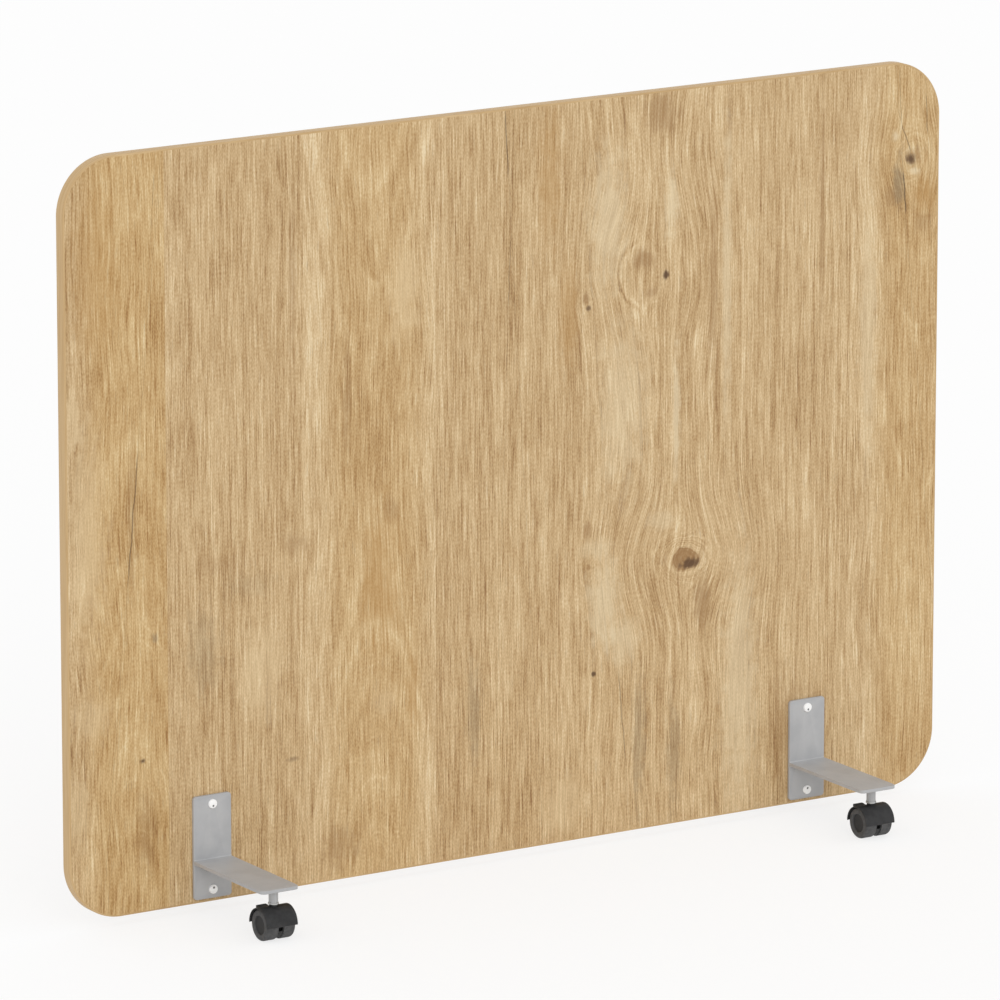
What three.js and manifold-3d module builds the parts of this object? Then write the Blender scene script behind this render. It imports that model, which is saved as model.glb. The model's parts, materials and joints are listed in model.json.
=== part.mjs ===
// Rolling partition: an oak-faced panel that stands on four twin-wheel castors.
// Millimetres, +Z up. The origin is on the floor, under the middle of the panel.
// The front looks along -Y and +X is to its right. The rear is the front turned half round.

import * as THREE from "three";
import { mergeVertices } from "three/addons/utils/BufferGeometryUtils.js";
import Module from "manifold-3d";

// ---- Driving dimensions -------------------------------------------------------------

// Panel: a board with an edge band all round
const PANEL_WIDTH = 1200;
const PANEL_HEIGHT = 889;
const PANEL_THICKNESS = 16;
const PANEL_CORNER_RADIUS = 67;
const EDGE_BAND_THICKNESS = 2;

// Brackets: a plate on the panel, with an arm welded across it
const BRACKET_FROM_PANEL_SIDE = 186.5;
const PLATE_WIDTH = 50;
const PLATE_HEIGHT = 123;
const PLATE_THICKNESS = 4;
const PLATE_CORNER_RADIUS = 4;
const PLATE_ABOVE_PANEL_EDGE = 5;
const ARM_WIDTH = 50;
const ARM_LENGTH = 153;
const ARM_THICKNESS = 4;
const ARM_CORNER_RADIUS = 6;
const ARM_TOP_ABOVE_PLATE_EDGE = 47;
const WELD_LEG = 1.5;

// Bolts that clamp a front and a rear plate on the panel, their sleeve nuts and caps
const BOLT_EDGE_DISTANCE = 10.5;
const BOLT_DIAMETER = 5;
const BOLT_TIP_CHAMFER = 0.8;
const THREAD_ENGAGEMENT = 14;
const SLEEVE_WALL = 1;
const SLEEVE_TO_FRONT_PLATE = 2;
const SLEEVE_END_WALL = 2;
const HEAD_OVERHANG = 1;
const HEAD_HEIGHT = 1.6;
const SOCKET_ACROSS_FLATS = 3;
const SOCKET_DEPTH = 1;
const CAP_WALL = 0.8;
const CAP_TOP_THICKNESS = 1;
const CAP_CROWN = 1.2;
const CAP_SHOULDER_WIDTH = 1.1;
const CAP_SHOULDER_HEIGHT = 0.8;
const PRY_HOLE_DIAMETER = 2.2;
const PRY_HOLE_OFFSET = 2.4;

// Bush under the arm, and the castor stem that screws into it
const STEM_TO_ARM_TIP = 17;
const BUSH_DIAMETER = 11;
const BUSH_LENGTH = 15.8;
const BUSH_TOP_THICKNESS = 2;
const BUSH_CHAMFER = 0.5;
const STUD_DIAMETER = 8;
const COLLAR_DIAMETER = 12.5;
const COLLAR_THICKNESS = 2;
const SWIVEL_PIN_DIAMETER = 5;
const PIN_TO_AXLE = 3;
const STEM_CHAMFER = 0.6;
const RING_GROOVE_DEPTH = 0.5;
const RING_GROOVE_WIDTH = 1.4;
const RING_GROOVE_TO_PIN_END = 2;
const RING_THICKNESS = 1;
const RING_PAST_PIN = 0.9;
const RING_OPENING_ANGLE = 60;

// Castor: two wheels, and a housing that is a hood, a web between the wheels and a hub disc
const WHEEL_DIAMETER = 37;
const WHEEL_OVERALL_WIDTH = 38;
const WHEEL_GAP = 7.6;
const WHEEL_EDGE_ROUNDING = 3;
const WHEEL_RECESS_DIAMETER = 23;
const WHEEL_RECESS_DEPTH = 2;
const WHEEL_RECESS_BEVEL = 0.8;
const WHEEL_END_WALL = 1.7;
const AXLE_DIAMETER = 5;
const HOOD_PAST_WHEEL = 1.5;
const HOOD_TO_WHEEL = 0.6;
const HOOD_WALL = 1.3;
const HUB_DISC_RADIUS = 14.5;
const HUB_DISC_WIDTH = 12;
const WEB_INSIDE_TREAD = 1.3;
const WEB_NOTCH_HEIGHT = 6;
const WEB_NOTCH_DEPTH = 6;
const NECK_DIAMETER = 10;
const NECK_HEIGHT = 2;

// Brake of the front castors: a lever on a pin, through a window at the back of the hood.
// It slopes up by as much as it travels, so that it lies level when it is pressed.
const LEVER_PIVOT_DIRECTION = 45;
const LEVER_TRAVEL = 8;
const LEVER_PAD_WIDTH = 14;
const LEVER_PAD_LENGTH = 13;
const LEVER_PAD_THICKNESS = 3;
const LEVER_PAD_ABOVE_PIVOT = 1;
const LEVER_TONGUE_WIDTH = 3;
const LEVER_EYE_WALL = 1.4;
const BRAKE_PIN_DIAMETER = 2.5;
const BRAKE_PIN_WALL = 0.37;
const BRAKE_PIN_END_INSET = 0.4;

// Clearances
const FIXED_FIT = 0.15;
const RUNNING_FIT = 0.3;
const END_CLEARANCE = 0.5;

// Fineness of the round faces, in steps round a full turn
const PANEL_CORNER_STEPS = 64;
const WHEEL_STEPS = 28;
const HOOD_STEPS = 40;
const ROUND_STEPS = 16;

// ---- Sizes and places that follow from the dimensions ------------------------------------

// Castor, up from the middle of its axle
const WHEEL_RADIUS = WHEEL_DIAMETER / 2;
const TREAD_RADIUS = WHEEL_RADIUS / Math.cos(Math.PI / WHEEL_STEPS);
const HOOD_INSIDE = WHEEL_RADIUS + HOOD_TO_WHEEL;
const HOOD_RADIUS = HOOD_INSIDE + HOOD_WALL;
const HOOD_WIDTH = WHEEL_OVERALL_WIDTH + 2 * HOOD_PAST_WHEEL;
const NECK_TOP = HOOD_RADIUS + NECK_HEIGHT;
const COLLAR_ABOVE_AXLE = NECK_TOP + RUNNING_FIT;
const AXLE_INSET = WHEEL_RECESS_DEPTH + WHEEL_END_WALL + RUNNING_FIT;
const AXLE_LENGTH = WHEEL_OVERALL_WIDTH - 2 * AXLE_INSET;
const WEB_WIDTH = WHEEL_GAP - 2 * RUNNING_FIT;
const WEB_RADIUS = WHEEL_RADIUS - WEB_INSIDE_TREAD;

// Stem, up from the underside of its collar
const SWIVEL_PIN_LENGTH = COLLAR_ABOVE_AXLE - AXLE_DIAMETER / 2 - PIN_TO_AXLE;
const STUD_LENGTH = BUSH_LENGTH - BUSH_TOP_THICKNESS - END_CLEARANCE;
const GROOVE_BOTTOM = -SWIVEL_PIN_LENGTH + RING_GROOVE_TO_PIN_END;
const GROOVE_RADIUS = SWIVEL_PIN_DIAMETER / 2 - RING_GROOVE_DEPTH;
const RING_RADIUS = SWIVEL_PIN_DIAMETER / 2 + RING_PAST_PIN;

// Heights above the floor
const COLLAR_UNDERSIDE = WHEEL_RADIUS + COLLAR_ABOVE_AXLE;
const ARM_UNDERSIDE = COLLAR_UNDERSIDE + COLLAR_THICKNESS + BUSH_LENGTH;
const ARM_TOP = ARM_UNDERSIDE + ARM_THICKNESS;
const PLATE_BOTTOM = ARM_TOP - ARM_TOP_ABOVE_PLATE_EDGE;
const PANEL_BOTTOM = PLATE_BOTTOM - PLATE_ABOVE_PANEL_EDGE;
const BOLT_HEIGHTS = {
  lower: PLATE_BOTTOM + BOLT_EDGE_DISTANCE,
  upper: PLATE_BOTTOM + PLATE_HEIGHT - BOLT_EDGE_DISTANCE,
};

// Distances from the middle of the panel
const BRACKET_FROM_CENTRE = PANEL_WIDTH / 2 - BRACKET_FROM_PANEL_SIDE;
const PLATE_FACE = PANEL_THICKNESS / 2 + PLATE_THICKNESS;
const STEM_FROM_CENTRE = PLATE_FACE + ARM_LENGTH - STEM_TO_ARM_TIP;

// Fasteners
const SLEEVE_DIAMETER = BOLT_DIAMETER + 2 * SLEEVE_WALL;
const SLEEVE_LENGTH = PANEL_THICKNESS + PLATE_THICKNESS - SLEEVE_TO_FRONT_PLATE;
const SLEEVE_BORE_DEPTH = SLEEVE_LENGTH - SLEEVE_END_WALL;
const BOLT_LENGTH = PLATE_THICKNESS + SLEEVE_TO_FRONT_PLATE + THREAD_ENGAGEMENT;
const HEAD_RADIUS = SLEEVE_DIAMETER / 2 + HEAD_OVERHANG;
const CAP_CEILING = HEAD_HEIGHT + FIXED_FIT;
const CAP_HEIGHT = CAP_CEILING + CAP_TOP_THICKNESS;

// Brake lever. Pressed, the lower front corner of its pad stops short of the treads.
const BRAKE_BORE_RADIUS = BRAKE_PIN_DIAMETER / 2 + FIXED_FIT;
const LEVER_PIVOT_RADIUS = HUB_DISC_RADIUS - BRAKE_PIN_WALL - BRAKE_BORE_RADIUS;
const LEVER_PIVOT_ANGLE = THREE.MathUtils.degToRad(LEVER_PIVOT_DIRECTION);
const LEVER_PIVOT_BEHIND_AXLE = LEVER_PIVOT_RADIUS * Math.cos(LEVER_PIVOT_ANGLE);
const LEVER_PIVOT_ABOVE_AXLE = LEVER_PIVOT_RADIUS * Math.sin(LEVER_PIVOT_ANGLE);
const PRESSED_PAD_HEIGHT = LEVER_PIVOT_ABOVE_AXLE + LEVER_PAD_ABOVE_PIVOT;
const TREAD_AT_PRESSED_PAD = Math.sqrt(TREAD_RADIUS ** 2 - PRESSED_PAD_HEIGHT ** 2);
const LEVER_PAD_START = TREAD_AT_PRESSED_PAD + RUNNING_FIT - LEVER_PIVOT_BEHIND_AXLE;
const LEVER_PAD_END = LEVER_PAD_START + LEVER_PAD_LENGTH;
const LEVER_PAD_TOP = LEVER_PAD_ABOVE_PIVOT + LEVER_PAD_THICKNESS;
const LEVER_EYE_RADIUS = BRAKE_BORE_RADIUS + LEVER_EYE_WALL;
const LEVER_SLOPE = THREE.MathUtils.degToRad(LEVER_TRAVEL);

// ---- Solid modelling helpers -----------------------------------------------------------

const wasm = await Module();
wasm.setup();
const VERTEX_TOLERANCE = 1e-4;

function toSolid(geometry) {
  geometry.deleteAttribute("normal");
  geometry.deleteAttribute("uv");
  const merged = mergeVertices(geometry, VERTEX_TOLERANCE);
  const vertProperties = new Float32Array(merged.attributes.position.array);
  const triVerts = new Uint32Array(merged.index.array);
  return new wasm.Manifold(new wasm.Mesh({ numProp: 3, vertProperties, triVerts }));
}

function toGeometry(solid) {
  const mesh = solid.getMesh();
  const geometry = new THREE.BufferGeometry();
  geometry.setAttribute("position", new THREE.BufferAttribute(mesh.vertProperties, 3));
  geometry.setIndex(new THREE.BufferAttribute(mesh.triVerts, 1));
  return geometry;
}

function join(...geometries) {
  const solids = geometries.map(toSolid);
  return toGeometry(solids.reduce((whole, next) => whole.add(next)));
}

function cut(geometry, ...tools) {
  const solids = tools.map(toSolid);
  return toGeometry(solids.reduce((whole, next) => whole.subtract(next), toSolid(geometry)));
}

function common(first, second) {
  return toGeometry(toSolid(first).intersect(toSolid(second)));
}

// Turns a cylinder or lathe made along Y until it lies along X or stands along Z
const alongX = (geometry) => geometry.rotateZ(-Math.PI / 2);
const alongZ = (geometry) => geometry.rotateX(Math.PI / 2);

function rod(radius, length, steps = ROUND_STEPS) {
  return new THREE.CylinderGeometry(radius, radius, length, steps);
}

// A profile of [radius, height] pairs, turned round the Y axis
function turned(profile, steps = ROUND_STEPS, start = 0) {
  const points = profile.map(([radius, height]) => new THREE.Vector2(radius, height));
  return new THREE.LatheGeometry(points, steps, start);
}

// Each arc of the outline is cut into an even number of steps, arcSteps of them
function slab(shape, thickness, arcSteps) {
  const curveSegments = arcSteps / 2;
  return new THREE.ExtrudeGeometry(shape, { depth: thickness, bevelEnabled: false, curveSegments });
}

// A slab whose outline is drawn in X and Z, with its thickness centred on Y
function uprightSlab(shape, thickness, arcSteps) {
  return slab(shape, thickness, arcSteps).rotateX(Math.PI / 2).translate(0, thickness / 2, 0);
}

// A slab whose outline is drawn in Y and Z, with its width centred on X
function sideSlab(shape, width, arcSteps) {
  const toSide = new THREE.Matrix4().makeBasis(
    new THREE.Vector3(0, 1, 0),
    new THREE.Vector3(0, 0, 1),
    new THREE.Vector3(1, 0, 0),
  );
  return slab(shape, width, arcSteps).translate(0, 0, -width / 2).applyMatrix4(toSide);
}

function traceRoundedRectangle(path, width, height, radius) {
  const halfWidth = width / 2 - radius;
  const low = radius;
  const high = height - radius;
  path.absarc(halfWidth, low, radius, -Math.PI / 2, 0);
  path.absarc(halfWidth, high, radius, 0, Math.PI / 2);
  path.absarc(-halfWidth, high, radius, Math.PI / 2, Math.PI);
  path.absarc(-halfWidth, low, radius, Math.PI, 1.5 * Math.PI);
  return path;
}

function roundHole(x, y, radius) {
  return new THREE.Path(new THREE.EllipseCurve(x, y, radius, radius).getPoints(ROUND_STEPS));
}

function box(lowest, highest) {
  const low = new THREE.Vector3(...lowest);
  const high = new THREE.Vector3(...highest);
  const size = high.clone().sub(low);
  const middle = low.add(high).multiplyScalar(0.5);
  return new THREE.BoxGeometry(size.x, size.y, size.z).translate(middle.x, middle.y, middle.z);
}

// ---- Finishes --------------------------------------------------------------------------

const finish = (color, roughness, metalness) => () =>
  new THREE.MeshStandardMaterial({ color, roughness, metalness });
const oakLaminate = finish(0xc9ac82, 0.55, 0);
const oakEdge = finish(0xcaac7d, 0.5, 0);
const greyPowderCoat = finish(0xaeaeac, 0.45, 0.2);
const brightZinc = finish(0xb8b8b8, 0.35, 0.9);
const whiteCap = finish(0xf0f0f0, 0.35, 0);
const blackPlastic = finish(0x3c3c3c, 0.45, 0);
const wheelPlastic = finish(0x4b4b4b, 0.5, 0);
const darkSteel = finish(0x8a8a8a, 0.4, 0.9);

function piece(name, geometry, makeFinish) {
  const mesh = new THREE.Mesh(geometry, makeFinish());
  mesh.name = name;
  return mesh;
}

// ---- Panel -----------------------------------------------------------------------------

function makeBoard() {
  const width = PANEL_WIDTH - 2 * EDGE_BAND_THICKNESS;
  const height = PANEL_HEIGHT - 2 * EDGE_BAND_THICKNESS;
  const radius = PANEL_CORNER_RADIUS - EDGE_BAND_THICKNESS;
  const outline = traceRoundedRectangle(new THREE.Shape(), width, height, radius);
  const holeRadius = SLEEVE_DIAMETER / 2 + RUNNING_FIT;
  for (const x of [-BRACKET_FROM_CENTRE, BRACKET_FROM_CENTRE]) {
    for (const boltHeight of Object.values(BOLT_HEIGHTS)) {
      const aboveBoardEdge = boltHeight - PANEL_BOTTOM - EDGE_BAND_THICKNESS;
      outline.holes.push(roundHole(x, aboveBoardEdge, holeRadius));
    }
  }
  return uprightSlab(outline, PANEL_THICKNESS, PANEL_CORNER_STEPS / 4);
}

function makeEdgeBand() {
  const outline = traceRoundedRectangle(
    new THREE.Shape(), PANEL_WIDTH, PANEL_HEIGHT, PANEL_CORNER_RADIUS);
  const inside = traceRoundedRectangle(
    new THREE.Path(),
    PANEL_WIDTH - 2 * EDGE_BAND_THICKNESS,
    PANEL_HEIGHT - 2 * EDGE_BAND_THICKNESS,
    PANEL_CORNER_RADIUS - EDGE_BAND_THICKNESS);
  const raised = inside.getPoints(PANEL_CORNER_STEPS / 8);
  raised.forEach((point) => point.set(point.x, point.y + EDGE_BAND_THICKNESS));
  outline.holes.push(new THREE.Path(raised));
  return uprightSlab(outline, PANEL_THICKNESS, PANEL_CORNER_STEPS / 4);
}

// ---- Bracket ---------------------------------------------------------------------------

function makePlate(holeRadius) {
  const outline = traceRoundedRectangle(
    new THREE.Shape(), PLATE_WIDTH, PLATE_HEIGHT, PLATE_CORNER_RADIUS);
  outline.holes.push(roundHole(0, BOLT_EDGE_DISTANCE, holeRadius));
  outline.holes.push(roundHole(0, PLATE_HEIGHT - BOLT_EDGE_DISTANCE, holeRadius));
  return uprightSlab(outline, PLATE_THICKNESS, ROUND_STEPS / 4);
}

// The arm runs from the plate's face at y = 0 towards -Y, with its top at z = 0.
// Its side view carries the weld fillets, and its top view the rounded tip corners.
function makeArm() {
  const sideView = new THREE.Shape();
  sideView.moveTo(-ARM_LENGTH, -ARM_THICKNESS);
  sideView.lineTo(-WELD_LEG, -ARM_THICKNESS);
  sideView.absarc(-WELD_LEG, -ARM_THICKNESS - WELD_LEG, WELD_LEG, Math.PI / 2, 0, true);
  sideView.lineTo(0, WELD_LEG);
  sideView.absarc(-WELD_LEG, WELD_LEG, WELD_LEG, 0, -Math.PI / 2, true);
  sideView.lineTo(-ARM_LENGTH, 0);
  const topView = new THREE.Shape();
  const halfTip = ARM_WIDTH / 2 - ARM_CORNER_RADIUS;
  const tipCorner = ARM_CORNER_RADIUS - ARM_LENGTH;
  topView.moveTo(ARM_WIDTH / 2, 0);
  topView.lineTo(-ARM_WIDTH / 2, 0);
  topView.absarc(-halfTip, tipCorner, ARM_CORNER_RADIUS, Math.PI, 1.5 * Math.PI);
  topView.absarc(halfTip, tipCorner, ARM_CORNER_RADIUS, -Math.PI / 2, 0);
  const reach = ARM_THICKNESS + 2 * WELD_LEG;
  const column = slab(topView, 2 * reach, ROUND_STEPS / 4).translate(0, 0, -reach);
  return common(sideSlab(sideView, ARM_WIDTH, ROUND_STEPS / 4), column);
}

// The bush hangs from the arm at z = 0, closed at the top, with its bore open below
function makeBush() {
  const radius = BUSH_DIAMETER / 2;
  const bore = STUD_DIAMETER / 2 + FIXED_FIT;
  return alongZ(turned([
    [0, -BUSH_TOP_THICKNESS],
    [bore, -BUSH_TOP_THICKNESS],
    [bore, -BUSH_LENGTH],
    [radius - BUSH_CHAMFER, -BUSH_LENGTH],
    [radius, -BUSH_LENGTH + BUSH_CHAMFER],
    [radius, 0],
    [0, 0],
  ]));
}

// ---- Bolt, sleeve nut and cap, with the head's seat at y = 0 and the head towards -Y ----

const towardsFront = (geometry) => geometry.rotateX(Math.PI);

function socketTool() {
  const acrossCorners = SOCKET_ACROSS_FLATS / Math.cos(Math.PI / 6);
  const hexagon = rod(acrossCorners / 2, 2 * SOCKET_DEPTH, 6);
  return towardsFront(hexagon.translate(0, HEAD_HEIGHT, 0));
}

function makeBolt() {
  const radius = BOLT_DIAMETER / 2;
  const blank = towardsFront(turned([
    [0, -BOLT_LENGTH],
    [radius - BOLT_TIP_CHAMFER, -BOLT_LENGTH],
    [radius, -BOLT_LENGTH + BOLT_TIP_CHAMFER],
    [radius, 0],
    [HEAD_RADIUS, 0],
    [HEAD_RADIUS, HEAD_HEIGHT],
    [0, HEAD_HEIGHT],
  ]));
  return cut(blank, socketTool());
}

function makeSleeveNut() {
  const bore = BOLT_DIAMETER / 2 + FIXED_FIT;
  const blank = towardsFront(turned([
    [0, SLEEVE_BORE_DEPTH - SLEEVE_LENGTH],
    [bore, SLEEVE_BORE_DEPTH - SLEEVE_LENGTH],
    [bore, -SLEEVE_LENGTH],
    [SLEEVE_DIAMETER / 2, -SLEEVE_LENGTH],
    [SLEEVE_DIAMETER / 2, 0],
    [HEAD_RADIUS, 0],
    [HEAD_RADIUS, HEAD_HEIGHT],
    [0, HEAD_HEIGHT],
  ]));
  return cut(blank, socketTool());
}

// The cap snaps over the head. Its pry hole lies towards the middle of the plate.
function makeCap(holeDirection) {
  const recess = HEAD_RADIUS + FIXED_FIT;
  const radius = recess + CAP_WALL;
  const sideHeight = CAP_HEIGHT - CAP_CROWN;
  const shell = turned([
    [0, CAP_CEILING],
    [recess, CAP_CEILING],
    [recess, 0],
    [radius, 0],
    [radius, sideHeight],
    [radius - CAP_SHOULDER_WIDTH, sideHeight + CAP_SHOULDER_HEIGHT],
    [0, CAP_HEIGHT],
  ]);
  const hole = rod(PRY_HOLE_DIAMETER / 2, CAP_HEIGHT, ROUND_STEPS / 2);
  hole.translate(0, CAP_CEILING + CAP_HEIGHT / 4, -holeDirection * PRY_HOLE_OFFSET);
  return towardsFront(cut(shell, hole));
}

// ---- Stem and retaining ring, with the collar's underside at z = 0 ------------------------

function makeStem() {
  const pin = SWIVEL_PIN_DIAMETER / 2;
  const stud = STUD_DIAMETER / 2;
  const collar = COLLAR_DIAMETER / 2;
  const studTop = COLLAR_THICKNESS + STUD_LENGTH;
  return alongZ(turned([
    [0, -SWIVEL_PIN_LENGTH],
    [pin - STEM_CHAMFER, -SWIVEL_PIN_LENGTH],
    [pin, -SWIVEL_PIN_LENGTH + STEM_CHAMFER],
    [pin, GROOVE_BOTTOM],
    [GROOVE_RADIUS, GROOVE_BOTTOM],
    [GROOVE_RADIUS, GROOVE_BOTTOM + RING_GROOVE_WIDTH],
    [pin, GROOVE_BOTTOM + RING_GROOVE_WIDTH],
    [pin, 0],
    [collar, 0],
    [collar, COLLAR_THICKNESS],
    [stud, COLLAR_THICKNESS],
    [stud, studTop - STEM_CHAMFER],
    [stud - STEM_CHAMFER, studTop],
    [0, studTop],
  ]));
}

function makeRing() {
  const start = THREE.MathUtils.degToRad(RING_OPENING_ANGLE / 2);
  const end = 2 * Math.PI - start;
  const outline = new THREE.Shape();
  outline.absarc(0, 0, RING_RADIUS, start, end);
  outline.absarc(0, 0, GROOVE_RADIUS + FIXED_FIT, end, start, true);
  const middle = GROOVE_BOTTOM + RING_GROOVE_WIDTH / 2;
  return slab(outline, RING_THICKNESS, 0.75 * ROUND_STEPS).translate(0, 0, middle - RING_THICKNESS / 2);
}

// ---- Castor, with the middle of the axle at the origin and the panel towards +Y -----------

// An upper half of one radius over a lower half of another, seen from the side
function twoHalves(upperRadius, lowerRadius) {
  const outline = new THREE.Shape();
  outline.absarc(0, 0, upperRadius, 0, Math.PI);
  outline.absarc(0, 0, lowerRadius, Math.PI, 2 * Math.PI);
  return outline;
}

function makeHousingBlank() {
  const hoodSection = new THREE.Shape();
  hoodSection.absarc(0, 0, HOOD_RADIUS, 0, Math.PI);
  hoodSection.absarc(0, 0, HOOD_INSIDE, Math.PI, 0, true);
  const insideHood = HOOD_INSIDE + HOOD_WALL / 2;
  const hood = sideSlab(hoodSection, HOOD_WIDTH, HOOD_STEPS / 2);
  const web = sideSlab(twoHalves(insideHood, WEB_RADIUS), WEB_WIDTH, HOOD_STEPS / 2);
  const hubDisc = alongX(rod(HUB_DISC_RADIUS, HUB_DISC_WIDTH, WHEEL_STEPS));
  const neck = alongZ(rod(NECK_DIAMETER / 2, NECK_TOP - insideHood));
  neck.translate(0, 0, (NECK_TOP + insideHood) / 2);
  return join(hood, web, hubDisc, neck);
}

function stemBore() {
  const bottom = COLLAR_ABOVE_AXLE - SWIVEL_PIN_LENGTH - END_CLEARANCE;
  const top = NECK_TOP + NECK_HEIGHT;
  const bore = alongZ(rod(SWIVEL_PIN_DIAMETER / 2 + RUNNING_FIT, top - bottom));
  return bore.translate(0, 0, (top + bottom) / 2);
}

function ringPocket() {
  const middle = COLLAR_ABOVE_AXLE + GROOVE_BOTTOM + RING_GROOVE_WIDTH / 2;
  const height = RING_THICKNESS + 2 * RUNNING_FIT;
  return alongZ(rod(RING_RADIUS + RUNNING_FIT, height)).translate(0, 0, middle);
}

const axleBore = () => alongX(rod(AXLE_DIAMETER / 2 + FIXED_FIT, HOOD_WIDTH));

// The dark notch in the front of the web, just below the edge of the hood
function webNotch() {
  const halfWidth = WEB_WIDTH / 2 + FIXED_FIT;
  const front = -HOOD_RADIUS;
  const back = WEB_NOTCH_DEPTH - WEB_RADIUS;
  return box([-halfWidth, front, -WEB_NOTCH_HEIGHT], [halfWidth, back, 0]);
}

// Places a shape drawn from the lever's pivot, along the lever, where the castor needs it
function atLever(geometry) {
  const sloped = geometry.rotateX(LEVER_SLOPE);
  return sloped.translate(0, LEVER_PIVOT_BEHIND_AXLE, LEVER_PIVOT_ABOVE_AXLE);
}

function brakeCuts() {
  const padLowest = LEVER_PAD_ABOVE_PIVOT - LEVER_PAD_END * Math.sin(LEVER_SLOPE);
  const slotHalf = LEVER_TONGUE_WIDTH / 2 + RUNNING_FIT;
  const windowHalf = LEVER_PAD_WIDTH / 2 + RUNNING_FIT;
  const behind = HOOD_RADIUS;
  const top = LEVER_PAD_TOP + RUNNING_FIT;
  const eye = LEVER_EYE_RADIUS + RUNNING_FIT;
  const slot = box([-slotHalf, -eye, -eye], [slotHalf, behind, top]);
  const window = box([-windowHalf, LEVER_PAD_START / 2, padLowest], [windowHalf, behind, top]);
  const pinBore = alongX(rod(BRAKE_BORE_RADIUS, HOOD_WIDTH));
  return [atLever(slot), atLever(window), atLever(pinBore)];
}

function makeHousing(hasBrake) {
  const cuts = [stemBore(), ringPocket(), axleBore(), webNotch()];
  return cut(makeHousingBlank(), ...cuts, ...(hasBrake ? brakeCuts() : []));
}

const makeAxle = () => alongX(rod(AXLE_DIAMETER / 2, AXLE_LENGTH));

// One wheel, with its outer face towards +X. The facets of its tread touch the true circle,
// so that it stands on a flat one and not on a ridge.
function makeWheel() {
  const inner = WHEEL_GAP / 2;
  const outer = WHEEL_OVERALL_WIDTH / 2;
  const recess = WHEEL_RECESS_DIAMETER / 2;
  const hubFace = HUB_DISC_WIDTH / 2 + RUNNING_FIT;
  const hubRoom = HUB_DISC_RADIUS + RUNNING_FIT;
  const bore = AXLE_DIAMETER / 2 + RUNNING_FIT;
  const boreEnd = AXLE_LENGTH / 2 + RUNNING_FIT;
  const disc = outer - WHEEL_RECESS_DEPTH;
  const rounding = [0, 30, 60, 90].map((degrees) => {
    const angle = THREE.MathUtils.degToRad(degrees);
    const middle = TREAD_RADIUS - WHEEL_EDGE_ROUNDING;
    const along = outer - WHEEL_EDGE_ROUNDING;
    return [
      middle + WHEEL_EDGE_ROUNDING * Math.cos(angle),
      along + WHEEL_EDGE_ROUNDING * Math.sin(angle),
    ];
  });
  return alongX(turned([
    [0, boreEnd],
    [bore, boreEnd],
    [bore, hubFace],
    [hubRoom, hubFace],
    [hubRoom, inner],
    [TREAD_RADIUS, inner],
    ...rounding,
    [recess, outer],
    [recess - WHEEL_RECESS_BEVEL, disc],
    [0, disc],
  ], WHEEL_STEPS, Math.PI / WHEEL_STEPS));
}

// The brake lever, drawn from its pivot with the pad along +Y
function makeLever() {
  const halfPad = LEVER_PAD_WIDTH / 2;
  const padBottom = LEVER_PAD_ABOVE_PIVOT;
  const tongueEnd = LEVER_PAD_START + LEVER_TONGUE_WIDTH / 2;
  const pad = box([-halfPad, LEVER_PAD_START, padBottom], [halfPad, LEVER_PAD_END, LEVER_PAD_TOP]);
  const side = new THREE.Shape();
  side.moveTo(0, -LEVER_EYE_RADIUS);
  side.lineTo(tongueEnd, padBottom);
  side.lineTo(tongueEnd, LEVER_PAD_TOP);
  side.lineTo(0, LEVER_EYE_RADIUS);
  const tongue = sideSlab(side, LEVER_TONGUE_WIDTH, ROUND_STEPS);
  const eye = alongX(rod(LEVER_EYE_RADIUS, LEVER_TONGUE_WIDTH));
  const hole = alongX(rod(BRAKE_BORE_RADIUS, LEVER_PAD_WIDTH));
  return cut(join(pad, tongue, eye), hole);
}

function makeBrakePin() {
  const length = HUB_DISC_WIDTH - 2 * BRAKE_PIN_END_INSET;
  return alongX(rod(BRAKE_PIN_DIAMETER / 2, length));
}

// ---- Assembly --------------------------------------------------------------------------

const partition = new THREE.Group();

const board = piece("panel_board", makeBoard(), oakLaminate);
board.position.z = PANEL_BOTTOM + EDGE_BAND_THICKNESS;
const edgeBand = piece("panel_edge_band", makeEdgeBand(), oakEdge);
edgeBand.position.z = PANEL_BOTTOM;
partition.add(board, edgeBand);

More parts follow.
